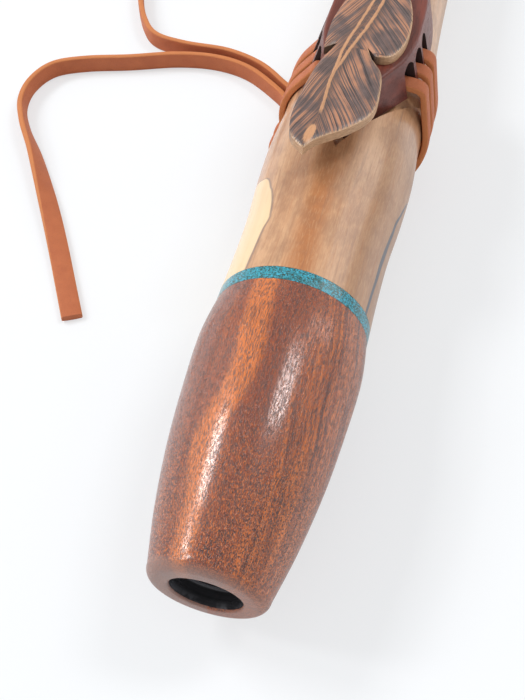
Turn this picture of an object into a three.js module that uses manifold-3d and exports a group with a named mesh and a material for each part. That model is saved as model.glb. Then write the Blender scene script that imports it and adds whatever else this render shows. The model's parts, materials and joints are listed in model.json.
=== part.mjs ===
// A Native American style flute: turned mouthpiece, crushed stone band, two glued body halves, and a
// carved block with a feather that a flat leather lace ties over the nest. Lengths are in millimetres.
// Each shape is made along the flute: x to the right, y from the mouth end, z up from the bore's axis.
import * as THREE from "three";
import { mergeVertices } from "three/addons/utils/BufferGeometryUtils.js";
import Module from "manifold-3d";

const wasm = await Module();
wasm.setup();

// Whole flute
const FLUTE_LENGTH = 600;
const FIT_GAP = 0.3;
const GLUE_GAP = 0.06;
const OVERRUN = 6;
const ROUND_SIDES = 48;
const HOLE_SIDES = 20;

// Mouthpiece
const MOUTHPIECE_LENGTH = 61.3;
const MOUTH_RADIUS = 11.95;
const BELLY_RADIUS = 17.95;
const RIM_ROUND = 2.4;
const LIP_CHAMFER = 0.5;
const BLOW_RADIUS = 7.1;
const BLOW_DEPTH = 4;
const WINDWAY_RADIUS = 6.2;
const TENON_LENGTH = 14;

// Stone band
const RING_RADIUS = 17.1;
const RING_WIDTH = 3.2;

// Body: a waist behind the band, a swell, a straight seat for the lace, and a thinner barrel
const BORE_RADIUS = 10.3;
const WAIST_RADIUS = 16.95;
const SWELL_RADIUS = 18.3;
const SEAT_RADIUS = 17.75;
const SEAT_START = 122;
const SEAT_END = 142;
const ELBOW_RADIUS = 15.6;
const ELBOW_STATION = 158;
const BARREL_RADIUS = 15;
const BARREL_START = 195;
const FOOT_ROUND = 2.5;
const AIR_CHAMBER_END = 128;
const SOUND_BORE_START = 158;

// Nest, flue and sound hole
const NEST_DEPTH = 4.15;
const NEST_LEAD = 6.4;
const NEST_SPREAD = 0.543;
const CHEEK_DEPTH = 0.75;
const NEST_RUN_OUT = 8;
const NEST_RAMP = 24;
const FLUE_WIDTH = 8.4;
const FLUE_DEPTH = 0.9;
const AIR_EXIT_START = 120;
const AIR_EXIT_LENGTH = 6;
const SOUND_HOLE_LENGTH = 6;
const EDGE_BEVEL = 5;
const EDGE_UNDERCUT = 2;

// Finger and tuning holes
const FIRST_HOLE = 250;
const HOLE_PITCH = 32;
const HAND_GAP = 42;
const HOLES_PER_HAND = 3;
const FINGER_HOLE_RADII = [3.6, 4.0, 4.1, 4.0, 4.3, 4.5];
const HOLE_FLARE = 0.8;
const TUNING_HOLE_SETBACK = 52;
const TUNING_HOLE_RADIUS = 3.2;
const TUNING_HOLE_DEGREES = 45;

// Block
const BLOCK_START = 107;
const BLOCK_LENGTH = 58;
const BLOCK_WIDTH = 28.4;
const BLOCK_SIDE = 0.8;
const BLOCK_HEIGHT = 10.7;
const PROW_LENGTH = 18;
const PROW_WIDTH = 23.4;
const SHOULDER_LENGTH = 12;
const TAIL_LENGTH = 22;
const TAIL_WIDTH = 20;
const DRAFT_SHARE = 0.25;
const TUNNEL_FIRST = 127.3;
const TUNNEL_PITCH = 5.8;
const TUNNEL_COUNT = 3;
const TUNNEL_WIDTH = 4.6;
const TUNNEL_LIFT = 1.9;
const TUNNEL_HEIGHT = 7;
const TUNNEL_ROUND = 1.2;
const LIP_INSET = 3.2;

// Feather
const FEATHER_LENGTH = 74;
const FEATHER_WIDTH = 18.6;
const FEATHER_THICKNESS = 2.8;
const FEATHER_TIP = { x: -5, y: 89 };
const FEATHER_TURN = -5.3;

// Lace
const LACE_WIDTH = 4;
const LACE_THICKNESS = 1.6;
const LACE_CHAMFER = 0.35;
const UNDER_STEPS = 26;
const FIRST_END_STEPS = 17;
const LAST_END_STEPS = 19;
const LIP_STEPS = 6;
const BOW_DEGREES = 44.6;
const BOW_STAND = 3.4;
const BOW_BEND = 2.6;
const KNOT_RADIUS = 3.1;
const KNOT_LENGTH = 15;
const LOOSE_END_WIDTH = 5.2;
const LOOSE_END_STEPS = 40;

const RING_START = MOUTHPIECE_LENGTH + GLUE_GAP;
const BODY_START = RING_START + RING_WIDTH + GLUE_GAP;
const TENON_RADIUS = BORE_RADIUS - FIT_GAP;
const BLOCK_END = BLOCK_START + BLOCK_LENGTH;
const NEST_HEIGHT = SEAT_RADIUS - NEST_DEPTH;
const BLOCK_BOTTOM = NEST_HEIGHT + FIT_GAP;
const BLOCK_TOP = BLOCK_BOTTOM + BLOCK_HEIGHT;
const TUNNEL_FLOOR = BLOCK_BOTTOM + TUNNEL_LIFT;
const LIP_WIDTH = BLOCK_WIDTH - 2 * LIP_INSET;
const SOUND_HOLE_END = BLOCK_END + SOUND_HOLE_LENGTH;
const TUNING_HOLE = FLUTE_LENGTH - TUNING_HOLE_SETBACK;
const LACE_LINE_RADIUS = SEAT_RADIUS + FIT_GAP + LACE_THICKNESS / 2;
const LACE_OUTER_RADIUS = LACE_LINE_RADIUS + LACE_THICKNESS / 2;

const point = (x, y) => new THREE.Vector2(x, y);

const sapele = new THREE.MeshStandardMaterial({ color: 0x96502f, roughness: 0.28, metalness: 0 });
const stone = new THREE.MeshStandardMaterial({ color: 0x3ca5af, roughness: 0.3, metalness: 0 });
const figuredWood = new THREE.MeshStandardMaterial({ color: 0xc8a587, roughness: 0.3, metalness: 0 });
const purpleWood = new THREE.MeshStandardMaterial({ color: 0x6e4642, roughness: 0.42, metalness: 0 });
const burntWood = new THREE.MeshStandardMaterial({ color: 0x8a6f62, roughness: 0.45, metalness: 0 });
const leather = new THREE.MeshStandardMaterial({ color: 0xb9703f, roughness: 0.65, metalness: 0 });

// A closed three.js geometry as a solid that can be joined and cut.
function solid(geometry) {
  const bare = geometry.index ? geometry.toNonIndexed() : geometry.clone();
  bare.deleteAttribute("normal");
  bare.deleteAttribute("uv");
  const merged = mergeVertices(bare);
  return new wasm.Manifold(
    new wasm.Mesh({
      numProp: 3,
      vertProperties: merged.attributes.position.array,
      triVerts: new Uint32Array(merged.index.array),
    }),
  );
}

function geometryOf(manifold) {
  const mesh = manifold.getMesh();
  const geometry = new THREE.BufferGeometry();
  geometry.setAttribute("position", new THREE.BufferAttribute(mesh.vertProperties, mesh.numProp));
  geometry.setIndex(new THREE.BufferAttribute(mesh.triVerts, 1));
  geometry.computeVertexNormals();
  return geometry;
}

// Turned about the flute's axis, with a flat of the facets straight above and straight below it.
function revolve(profile, sides = ROUND_SIDES) {
  return solid(new THREE.LatheGeometry(profile, sides, Math.PI / sides));
}

function cylinder(radius, from, to, sides = ROUND_SIDES) {
  return revolve([point(0, from), point(radius, from), point(radius, to), point(0, to)], sides);
}

// A plan outline (x, y) raised from one height to another.
function plate(outline, from, to) {
  const geometry = new THREE.ExtrudeGeometry(outline, { depth: to - from, bevelEnabled: false });
  return solid(geometry.translate(0, 0, from));
}

// A side outline (y, z) drawn out evenly to both sides of the flute.
function crossPrism(outline, width) {
  const geometry = new THREE.ExtrudeGeometry(outline, { depth: width, bevelEnabled: false });
  const turn = new THREE.Matrix4().makeBasis(
    new THREE.Vector3(0, 1, 0),
    new THREE.Vector3(0, 0, 1),
    new THREE.Vector3(1, 0, 0),
  );
  return solid(geometry.applyMatrix4(turn).translate(-width / 2, 0, 0));
}

function polygon(corners) {
  return new THREE.Shape(corners.map(([x, y]) => point(x, y)));
}

// The curve from the mouth to the band: shares of the length, and of the way from mouth to belly radius.
const MOUTHPIECE_CURVE_SHARES = [[0.22, 0.4], [0.44, 0.733], [0.66, 0.917], [0.85, 1]];
const CURVE_POINTS = 16;
const TAPER_POINTS = 7;
const ARC_POINTS = 4;

function mouthpiece() {
  const rise = BELLY_RADIUS - MOUTH_RADIUS;
  const knots = [
    point(MOUTH_RADIUS, RIM_ROUND),
    ...MOUTHPIECE_CURVE_SHARES.map(([along, out]) =>
      point(MOUTH_RADIUS + out * rise, along * MOUTHPIECE_LENGTH),
    ),
    point(RING_RADIUS, MOUTHPIECE_LENGTH),
  ];
  const rim = new THREE.Shape();
  rim.absarc(MOUTH_RADIUS - RIM_ROUND, RIM_ROUND, RIM_ROUND, -Math.PI / 2, 0, false);
  const tenonEnd = BODY_START + TENON_LENGTH;
  const profile = [
    point(BLOW_RADIUS, LIP_CHAMFER),
    point(BLOW_RADIUS + LIP_CHAMFER, 0),
    ...rim.getPoints(ARC_POINTS),
    ...new THREE.SplineCurve(knots).getPoints(CURVE_POINTS).slice(1),
    point(TENON_RADIUS, MOUTHPIECE_LENGTH),
    point(TENON_RADIUS, tenonEnd),
    point(WINDWAY_RADIUS, tenonEnd),
    point(WINDWAY_RADIUS, BLOW_DEPTH),
    point(BLOW_RADIUS, BLOW_DEPTH),
    point(BLOW_RADIUS, LIP_CHAMFER),
  ];
  return revolve(profile);
}

function stoneBand() {
  const inner = TENON_RADIUS + FIT_GAP;
  const end = RING_START + RING_WIDTH;
  return revolve([
    point(inner, RING_START),
    point(RING_RADIUS, RING_START),
    point(RING_RADIUS, end),
    point(inner, end),
    point(inner, RING_START),
  ]);
}

// From the band to the lace's seat: shares of the way, and of the rise from waist to swell radius.
const SWELL_CURVE_SHARES = [[0.157, 0], [0.37, 0.11], [0.58, 0.72], [0.79, 1]];

function bodyBlank() {
  const run = SEAT_START - BODY_START;
  const rise = SWELL_RADIUS - WAIST_RADIUS;
  const swell = new THREE.SplineCurve([
    point(RING_RADIUS, BODY_START),
    ...SWELL_CURVE_SHARES.map(([along, out]) => point(WAIST_RADIUS + out * rise, BODY_START + along * run)),
    point(SEAT_RADIUS, SEAT_START),
  ]);
  const taper = new THREE.QuadraticBezierCurve(
    point(SEAT_RADIUS, SEAT_END),
    point(ELBOW_RADIUS, ELBOW_STATION),
    point(BARREL_RADIUS, BARREL_START),
  );
  const foot = new THREE.Shape();
  foot.absarc(BARREL_RADIUS - FOOT_ROUND, FLUTE_LENGTH - FOOT_ROUND, FOOT_ROUND, 0, Math.PI / 2, false);
  return revolve([
    point(0, BODY_START),
    ...swell.getPoints(CURVE_POINTS),
    ...taper.getPoints(TAPER_POINTS),
    ...foot.getPoints(ARC_POINTS),
    point(0, FLUTE_LENGTH),
  ]);
}

// The block's outline seen from above, from its prow to its square tail.
function blockOutline() {
  const half = BLOCK_WIDTH / 2;
  const prow = PROW_WIDTH / 2;
  const tail = TAIL_WIDTH / 2;
  const prowEnd = BLOCK_START + PROW_LENGTH;
  const shoulderEnd = prowEnd + SHOULDER_LENGTH;
  const tailStart = BLOCK_END - TAIL_LENGTH;
  const outline = new THREE.Shape();
  outline.moveTo(0, BLOCK_START);
  outline.lineTo(prow, prowEnd);
  outline.quadraticCurveTo(half, prowEnd + SHOULDER_LENGTH / 2, half, shoulderEnd);
  outline.lineTo(half, tailStart);
  outline.quadraticCurveTo(half, tailStart + TAIL_LENGTH / 2, tail, BLOCK_END);
  outline.lineTo(-tail, BLOCK_END);
  outline.quadraticCurveTo(-half, tailStart + TAIL_LENGTH / 2, -half, tailStart);
  outline.lineTo(-half, shoulderEnd);
  outline.quadraticCurveTo(-half, prowEnd + SHOULDER_LENGTH / 2, -prow, prowEnd);
  outline.closePath();
  return outline;
}

// A plain round the length of the flute.
function plainRound(radius) {
  return revolve([point(0, 0), point(radius, 0), point(radius, FLUTE_LENGTH), point(0, FLUTE_LENGTH)]);
}

// The flat nest that the block sits on, with a shallow cheek cut on either side of it. Its front runs
// out to both sides from a point ahead of the prow, and its back ramps up to the barrel.
function nest() {
  const reach = SEAT_RADIUS;
  const apex = BLOCK_START - NEST_LEAD;
  const wing = apex + reach / NEST_SPREAD;
  const back = SOUND_HOLE_END + NEST_RUN_OUT;
  const above = SWELL_RADIUS + OVERRUN;
  const flat = polygon([[0, apex], [reach, wing], [reach, back], [-reach, back], [-reach, wing]]);
  const ramp = polygon([
    [BLOCK_END, NEST_HEIGHT],
    [back, NEST_HEIGHT],
    [back + NEST_RAMP, SEAT_RADIUS],
    [back + NEST_RAMP, above],
    [BLOCK_END, above],
  ]);
  const cheeks = plate(flat, 0, NEST_HEIGHT).subtract(plainRound(SEAT_RADIUS - CHEEK_DEPTH));
  return plate(flat, NEST_HEIGHT, above).add(crossPrism(ramp, 2 * reach)).add(cheeks);
}

// The way of the air: up out of the air chamber, along the flue under the block, over the splitting edge.
function airway() {
  const flueFloor = NEST_HEIGHT - FLUE_DEPTH;
  const above = NEST_HEIGHT + OVERRUN;
  const exitEnd = AIR_EXIT_START + AIR_EXIT_LENGTH;
  const flue = polygon([
    [AIR_EXIT_START, flueFloor],
    [BLOCK_END, flueFloor],
    [BLOCK_END, above],
    [AIR_EXIT_START, above],
  ]);
  const exit = polygon([[AIR_EXIT_START, 0], [exitEnd, 0], [exitEnd, above], [AIR_EXIT_START, above]]);
  const mouth = polygon([
    [BLOCK_END, 0],
    [SOUND_HOLE_END + EDGE_UNDERCUT, 0],
    [SOUND_HOLE_END + EDGE_UNDERCUT, BORE_RADIUS],
    [SOUND_HOLE_END, NEST_HEIGHT - FLUE_DEPTH / 2],
    [SOUND_HOLE_END + EDGE_BEVEL, NEST_HEIGHT],
    [SOUND_HOLE_END + EDGE_BEVEL, above],
    [BLOCK_END, above],
  ]);
  return crossPrism(flue, FLUE_WIDTH).add(crossPrism(exit, FLUE_WIDTH)).add(crossPrism(mouth, FLUE_WIDTH));
}

function fingerHoleStation(index) {
  const hand = Math.floor(index / HOLES_PER_HAND);
  return FIRST_HOLE + index * HOLE_PITCH + hand * (HAND_GAP - HOLE_PITCH);
}

// A hole drilled from the barrel's surface into the bore, with its outer edge eased by a flare.
function drilledHole(radius, flare, station, degrees) {
  const easedTop = BARREL_RADIUS + flare;
  const drill = new THREE.LatheGeometry(
    [
      point(0, 0),
      point(radius, 0),
      point(radius, BARREL_RADIUS - 2 * flare),
      point(radius + 2 * flare, easedTop),
      point(0, easedTop),
    ],
    HOLE_SIDES,
  );
  drill.rotateX(Math.PI / 2).rotateY(THREE.MathUtils.degToRad(degrees));
  return solid(drill.translate(0, station, 0));
}

function body() {
  let made = bodyBlank()
    .subtract(cylinder(BORE_RADIUS, BODY_START - OVERRUN, AIR_CHAMBER_END))
    .subtract(cylinder(BORE_RADIUS, SOUND_BORE_START, FLUTE_LENGTH + OVERRUN))
    .subtract(nest())
    .subtract(airway());
  FINGER_HOLE_RADII.forEach((radius, index) => {
    made = made.subtract(drilledHole(radius, HOLE_FLARE, fingerHoleStation(index), 0));
  });
  for (const side of [1, -1]) {
    const degrees = side * TUNING_HOLE_DEGREES;
    made = made.subtract(drilledHole(TUNING_HOLE_RADIUS, HOLE_FLARE, TUNING_HOLE, degrees));
  }
  return made;
}

// One half of the body, above (side 1) or below (side -1) the glue line at the bore's middle.
function bodyHalf(whole, side) {
  const size = 2 * (SWELL_RADIUS + OVERRUN);
  const half = new THREE.BoxGeometry(size, FLUTE_LENGTH + size, size);
  half.translate(0, FLUTE_LENGTH / 2, (side * (size + GLUE_GAP)) / 2);
  return whole.intersect(solid(half));
}

// The sides of the block lean in as they rise.
function leanIn(geometry) {
  const places = geometry.attributes.position;
  for (let i = 0; i < places.count; i++) {
    const rise = places.getZ(i) - BLOCK_BOTTOM;
    places.setX(i, places.getX(i) * (1 - (DRAFT_SHARE * rise) / (BLOCK_WIDTH / 2)));
  }
  return geometry;
}

function tunnelStation(index) {
  return TUNNEL_FIRST + index * TUNNEL_PITCH;
}

// A tunnel for one turn of the lace, with a groove at each end where the lace bends down to the body.
function tunnel(index) {
  const left = tunnelStation(index) - TUNNEL_WIDTH / 2;
  const right = left + TUNNEL_WIDTH;
  const low = TUNNEL_FLOOR;
  const high = TUNNEL_FLOOR + TUNNEL_HEIGHT;
  const mouth = new THREE.Shape();
  mouth.moveTo(left, low);
  mouth.lineTo(right, low);
  mouth.lineTo(right, high - TUNNEL_ROUND);
  mouth.quadraticCurveTo(right, high, right - TUNNEL_ROUND, high);
  mouth.lineTo(left + TUNNEL_ROUND, high);
  mouth.quadraticCurveTo(left, high, left, high - TUNNEL_ROUND);
  mouth.closePath();
  const under = BLOCK_BOTTOM - OVERRUN;
  const groove = polygon([[left, under], [right, under], [right, low + FIT_GAP], [left, low + FIT_GAP]]);
  const reach = BLOCK_WIDTH + OVERRUN;
  const grooves = crossPrism(groove, reach).subtract(crossPrism(groove, LIP_WIDTH));
  return crossPrism(mouth, reach).add(grooves);
}

function block() {
  const blank = new THREE.ExtrudeGeometry(blockOutline(), {
    depth: BLOCK_HEIGHT,
    bevelEnabled: false,
    curveSegments: 6,
  });
  let made = solid(leanIn(blank.translate(0, 0, BLOCK_BOTTOM)));
  for (let index = 0; index < TUNNEL_COUNT; index++) made = made.subtract(tunnel(index));
  return made.translate([BLOCK_SIDE, 0, 0]);
}

// The feather's outline as shares of its length and width, from the tip up each edge of the vane.
const RIGHT_LOBE_SHARES = [
  [0, 0], [0.05, 0.1], [0.13, 0.4], [0.208, 0.57], [0.296, 0.56], [0.388, 0.468], [0.445, 0.28],
];
const RIGHT_NOTCH_SHARE = [0.493, 0.172];
const RIGHT_VANE_SHARES = [
  [0.46, 0.312], [0.479, 0.5], [0.551, 0.591], [0.658, 0.565], [0.763, 0.44], [0.855, 0.247], [0.921, 0.065],
];
const QUILL_SHARES = [[1, 0.05], [1, -0.05]];
const LEFT_VANE_SHARES = [
  [0.921, -0.065], [0.829, -0.247], [0.737, -0.36], [0.601, -0.409], [0.512, -0.382], [0.447, -0.339],
];
const LEFT_NOTCH_SHARE = [0.483, -0.21];
const LEFT_LOBE_SHARES = [
  [0.416, -0.274], [0.355, -0.317], [0.245, -0.333], [0.118, -0.306], [0.039, -0.2], [0, 0],
];
const VANE_POINTS = 14;

function feather() {
  const place = ([along, across]) => point(across * FEATHER_WIDTH, along * FEATHER_LENGTH);
  const edge = (shares) => new THREE.SplineCurve(shares.map(place)).getPoints(VANE_POINTS);
  const outline = new THREE.Shape([
    ...edge(RIGHT_LOBE_SHARES),
    place(RIGHT_NOTCH_SHARE),
    ...edge(RIGHT_VANE_SHARES),
    ...QUILL_SHARES.map(place),
    ...edge(LEFT_VANE_SHARES),
    place(LEFT_NOTCH_SHARE),
    ...edge(LEFT_LOBE_SHARES).slice(0, -1),
  ]);
  const plateGeometry = new THREE.ExtrudeGeometry(outline, {
    depth: FEATHER_THICKNESS,
    bevelEnabled: false,
  });
  plateGeometry.rotateZ(THREE.MathUtils.degToRad(FEATHER_TURN));
  return solid(plateGeometry.translate(FEATHER_TIP.x, FEATHER_TIP.y, BLOCK_TOP + GLUE_GAP));
}

// The flat lace's section, with its four corners cut.
function laceSection(width) {
  const w = width / 2;
  const t = LACE_THICKNESS / 2;
  const c = LACE_CHAMFER;
  return [
    [-w + c, -t], [w - c, -t], [w, -t + c], [w, t - c],
    [w - c, t], [-w + c, t], [-w, t - c], [-w, -t + c],
  ];
}

// A closed strip: the section placed at each station, whose two directions say how the lace lies there.
function strip(stations, section) {
  const places = [];
  for (const { middle, across, through } of stations) {
    for (const [a, b] of section) {
      const place = middle.clone().addScaledVector(across, a).addScaledVector(through, b);
      places.push(place.x, place.y, place.z);
    }
  }
  const sides = section.length;
  const last = (stations.length - 1) * sides;
  const faces = [];
  for (let side = 1; side < sides - 1; side++) {
    faces.push(0, side, side + 1);
    faces.push(last, last + side + 1, last + side);
  }
  for (let ring = 0; ring < last; ring += sides) {
    for (let side = 0; side < sides; side++) {
      const next = (side + 1) % sides;
      faces.push(ring + side, ring + sides + next, ring + next);
      faces.push(ring + side, ring + sides + side, ring + sides + next);
    }
  }
  const geometry = new THREE.BufferGeometry();
  geometry.setAttribute("position", new THREE.Float32BufferAttribute(places, 3));
  geometry.setIndex(faces);
  return geometry;
}

// One station of the winding: the lace lies at this angle from the top on a circle round (x, z).
function windingStation(angle, radius, x, y, z) {
  const out = new THREE.Vector3(Math.sin(angle), 0, Math.cos(angle));
  return {
    middle: new THREE.Vector3(x, y, z).addScaledVector(out, radius),
    across: new THREE.Vector3(0, 1, 0),
    through: out,
  };
}

// The lace bends over the lip of a tunnel. On the left it then runs straight down to the body. On the
// right it stands off in a bow, which bends round a place of its own before it meets the body.
const LIP_BEND = FIT_GAP + LACE_THICKNESS / 2;
const LEFT_LIP = LIP_WIDTH / 2 - BLOCK_SIDE;
const RIGHT_LIP = LIP_WIDTH / 2 + BLOCK_SIDE;
const LEFT_TOUCH =
  Math.atan2(LEFT_LIP, TUNNEL_FLOOR) +
  Math.acos((LACE_LINE_RADIUS - LIP_BEND) / Math.hypot(LEFT_LIP, TUNNEL_FLOOR));
const BOW_REACH = LACE_LINE_RADIUS - BOW_BEND + BOW_STAND;
const BOW_ANGLE = THREE.MathUtils.degToRad(BOW_DEGREES);
const BOW_X = BOW_REACH * Math.sin(BOW_ANGLE);
const BOW_Z = BOW_REACH * Math.cos(BOW_ANGLE);
const RIGHT_TOUCH = BOW_ANGLE + Math.acos((LACE_LINE_RADIUS - BOW_BEND) / BOW_REACH);
const BOW_START =
  Math.atan2(BOW_X - RIGHT_LIP, BOW_Z - TUNNEL_FLOOR) -
  Math.acos((LIP_BEND - BOW_BEND) / Math.hypot(BOW_X - RIGHT_LIP, BOW_Z - TUNNEL_FLOOR));

// Where the lace lies a number of steps on from the right touch, round under the body to the left one.
function underAngle(step) {
  return RIGHT_TOUCH + (step / UNDER_STEPS) * (2 * Math.PI - RIGHT_TOUCH - LEFT_TOUCH);
}

function underStation(turn, step) {
  const y = tunnelStation(turn) - (TUNNEL_PITCH * step) / UNDER_STEPS;
  return windingStation(underAngle(step), LACE_LINE_RADIUS, 0, y, 0);
}

// The winding goes round the body like a belt, over the two lips of each tunnel, one pitch on a turn.
function windingStations() {
  const stations = [];
  for (let turn = 0; turn < TUNNEL_COUNT; turn++) {
    for (let step = turn === 0 ? FIRST_END_STEPS : UNDER_STEPS; step >= 0; step--) {
      stations.push(underStation(turn, step));
    }
    const y = tunnelStation(turn);
    for (let step = LIP_STEPS - 1; step >= 0; step--) {
      const angle = BOW_START + ((RIGHT_TOUCH - BOW_START) * step) / LIP_STEPS;
      stations.push(windingStation(angle, BOW_BEND, BOW_X, y, BOW_Z));
    }
    for (let step = LIP_STEPS; step >= 0; step--) {
      stations.push(windingStation((BOW_START * step) / LIP_STEPS, LIP_BEND, RIGHT_LIP, y, TUNNEL_FLOOR));
    }
    for (let step = 0; step <= LIP_STEPS; step++) {
      stations.push(windingStation((-LEFT_TOUCH * step) / LIP_STEPS, LIP_BEND, -LEFT_LIP, y, TUNNEL_FLOOR));
    }
  }
  for (let step = UNDER_STEPS; step >= LAST_END_STEPS; step--) {
    stations.push(underStation(TUNNEL_COUNT, step));
  }
  return stations;
}

// The least distance between points of two neighbouring turns of the winding.
function leastGap(geometry, stations, sides) {
  const turn = Math.round(stations / (TUNNEL_COUNT + 1));
  const places = geometry.attributes.position;
  const a = new THREE.Vector3();
  const b = new THREE.Vector3();
  let least = Infinity;
  for (let i = 0; i < places.count; i++) {
    a.fromBufferAttribute(places, i);
    for (let j = i + turn * sides; j < places.count; j++) {
      least = Math.min(least, a.distanceTo(b.fromBufferAttribute(places, j)));
    }
  }
  return least;
}

function laceWinding() {
  const stations = windingStations();
  const section = laceSection(LACE_WIDTH);
  const geometry = strip(stations, section);
  console.log("least gap in the winding", leastGap(geometry, stations.length, section.length).toFixed(2));
  return solid(geometry);
}

// The knot lies low on the left, over the turns, between the places where the two lace ends stop.
function knotPlace() {
  const { through } = underStation(1, (FIRST_END_STEPS + LAST_END_STEPS) / 2);
  const middle = new THREE.Vector3(0, tunnelStation(1) - TUNNEL_PITCH / TUNNEL_COUNT, 0);
  return middle.addScaledVector(through, LACE_OUTER_RADIUS + FIT_GAP + KNOT_RADIUS);
}

// Across the knot its radius swells over each turn of lace: shares of its length and radius.
const KNOT_SHARES = [
  [0.04, 0.8], [0.15, 0.98], [0.3, 0.8], [0.42, 1], [0.58, 1], [0.7, 0.8], [0.85, 0.98], [0.96, 0.8],
];
const KNOT_SIDES = 16;

function knot() {
  const start = -KNOT_LENGTH / 2;
  const profile = [
    point(0, start),
    ...KNOT_SHARES.map(([along, out]) => point(out * KNOT_RADIUS, start + along * KNOT_LENGTH)),
    point(0, -start),
  ];
  const { x, y, z } = knotPlace();
  return solid(new THREE.LatheGeometry(profile, KNOT_SIDES).translate(x, y, z));
}

// The two loose ends, from the knot along the surface that the flute lies on: x, station along the flute
// and height of the lower edge over that surface.
const NEAR_END_ROUTE = [
  [-20.4, 139.1, 4], [-20.9, 143.5, 2.7], [-22.8, 149, 0.7], [-26.9, 153.7, 0.1], [-37.5, 160.6, 0.05],
  [-48.3, 162.7, 0.05], [-60, 160.9, 0.05], [-73.6, 155.8, 0.05], [-86, 151.7, 0.05], [-94.5, 146.8, 0.05],
  [-98, 138.8, 0.05], [-97.3, 130.2, 0.05], [-93, 122, 0.05], [-86.3, 113.1, 0.05], [-79, 102.3, 0.05],
  [-72.5, 92.2, 0.05], [-66.6, 82.6, 0.05], [-61, 73.2, 0.05], [-55.4, 63.8, 0.05],
];
const FAR_END_ROUTE = [
  [-17.9, 139.1, 4], [-18.2, 144.5, 2.8], [-20.4, 151.5, 0.8], [-26.3, 157.2, 0.1], [-34.7, 163.3, 0.05],
  [-45.8, 166.6, 0.05], [-59.2, 166.4, 0.05], [-69.2, 168.1, 0.05], [-75.2, 174.4, 0.05], [-80.6, 185.5, 0.05],
  [-84.3, 197.5, 0.05], [-86, 211, 0.05], [-83.6, 226, 0.05], [-78, 240, 0.05], [-71.5, 253, 0.05],
  [-66, 266, 0.05],
];
// How far each loose end turns over from standing on its edge: shares of its way where it starts and
// stops to turn, and the angle that it stops at.
const NEAR_END_TURN = { startShare: 0.52, stopShare: 0.96, degrees: 86 };
const FAR_END_TURN = { startShare: 0.5, stopShare: 1, degrees: 0 };

function looseEnd(route, turn) {
  const points = route.map(([x, y, height]) => new THREE.Vector3(x, y, height));
  const curve = new THREE.CatmullRomCurve3(points, false, "centripetal");
  const up = new THREE.Vector3(0, 0, 1);
  const stations = [];
  for (let step = 0; step <= LOOSE_END_STEPS; step++) {
    const share = step / LOOSE_END_STEPS;
    const along = curve.getTangentAt(share);
    const side = new THREE.Vector3().crossVectors(along, up).normalize();
    const over = new THREE.Vector3().crossVectors(side, along).normalize();
    const turned = THREE.MathUtils.smoothstep(share, turn.startShare, turn.stopShare);
    const lean = THREE.MathUtils.degToRad(turned * turn.degrees);
    const halfHeight = (LOOSE_END_WIDTH * Math.cos(lean) + LACE_THICKNESS * Math.sin(lean)) / 2;
    const across = over.applyAxisAngle(along, lean);
    stations.push({
      middle: curve.getPointAt(share).addScaledVector(up, halfHeight),
      across,
      through: new THREE.Vector3().crossVectors(across, along).normalize(),
    });
  }
  return solid(strip(stations, laceSection(LOOSE_END_WIDTH)));
}

// The flute lies on the winding's lowest flat and on the edge of its foot, so its axis falls to the foot.
const RESTING_STATION = tunnelStation(TUNNEL_COUNT - 1) - TUNNEL_PITCH / 2 + LACE_WIDTH / 2;
const UNDER_DEPTHS = Array.from({ length: UNDER_STEPS + 1 }, (_, step) => -Math.cos(underAngle(step)));
const RESTING_RADIUS = LACE_OUTER_RADIUS * Math.max(...UNDER_DEPTHS);
const FOOT_RADIUS = BARREL_RADIUS * Math.cos(Math.PI / ROUND_SIDES);
const FALL_ANGLE = Math.atan2(RESTING_RADIUS - FOOT_RADIUS, FLUTE_LENGTH - FOOT_ROUND - RESTING_STATION);
const MIDDLE = (FLUTE_LENGTH / 2) * Math.cos(FALL_ANGLE);

const flute = new THREE.Group();
flute.rotation.x = -FALL_ANGLE;
flute.position.y = -MIDDLE;
flute.position.z = RESTING_RADIUS * Math.cos(FALL_ANGLE) + RESTING_STATION * Math.sin(FALL_ANGLE);

const looseEnds = new THREE.Group();
looseEnds.position.y = -MIDDLE;

function place(group, name, shape, material) {
  const mesh = new THREE.Mesh(geometryOf(shape), material);
  mesh.name = name;
  group.add(mesh);
}

const wholeBody = body();
place(flute, "mouthpiece", mouthpiece(), sapele);
place(flute, "turquoise_band", stoneBand(), stone);
place(flute, "body_upper_half", bodyHalf(wholeBody, 1), figuredWood);
place(flute, "body_lower_half", bodyHalf(wholeBody, -1), figuredWood);
place(flute, "block", block(), purpleWood);
place(flute, "feather", feather(), burntWood);
place(flute, "lace_winding", laceWinding(), leather);
place(flute, "lace_knot", knot(), leather);
place(looseEnds, "lace_end_near", looseEnd(NEAR_END_ROUTE, NEAR_END_TURN), leather);
place(looseEnds, "lace_end_far", looseEnd(FAR_END_ROUTE, FAR_END_TURN), leather);

const part = new THREE.Group();
part.add(flute, looseEnds);

export default part;
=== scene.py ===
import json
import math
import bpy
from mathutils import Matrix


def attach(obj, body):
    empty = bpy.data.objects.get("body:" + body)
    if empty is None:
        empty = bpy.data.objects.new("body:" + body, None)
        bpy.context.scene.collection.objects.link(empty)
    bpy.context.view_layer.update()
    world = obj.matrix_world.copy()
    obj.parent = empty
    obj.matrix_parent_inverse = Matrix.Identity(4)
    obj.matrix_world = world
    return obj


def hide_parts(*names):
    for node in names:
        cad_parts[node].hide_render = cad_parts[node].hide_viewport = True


bl_info = {
    "name": "Wooden block flute",
    "version": (1, 0, 0),
    "blender": (4, 5, 0),
    "location": "View3D > Sidebar > Flute",
    "description": "Dresses a six-hole block flute in fine woods, crushed stone and leather",
    "category": "Object",
}

import bmesh
import bpy
from bpy.props import FloatProperty, FloatVectorProperty, IntProperty, PointerProperty
from mathutils import Matrix, Vector, kdtree

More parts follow.
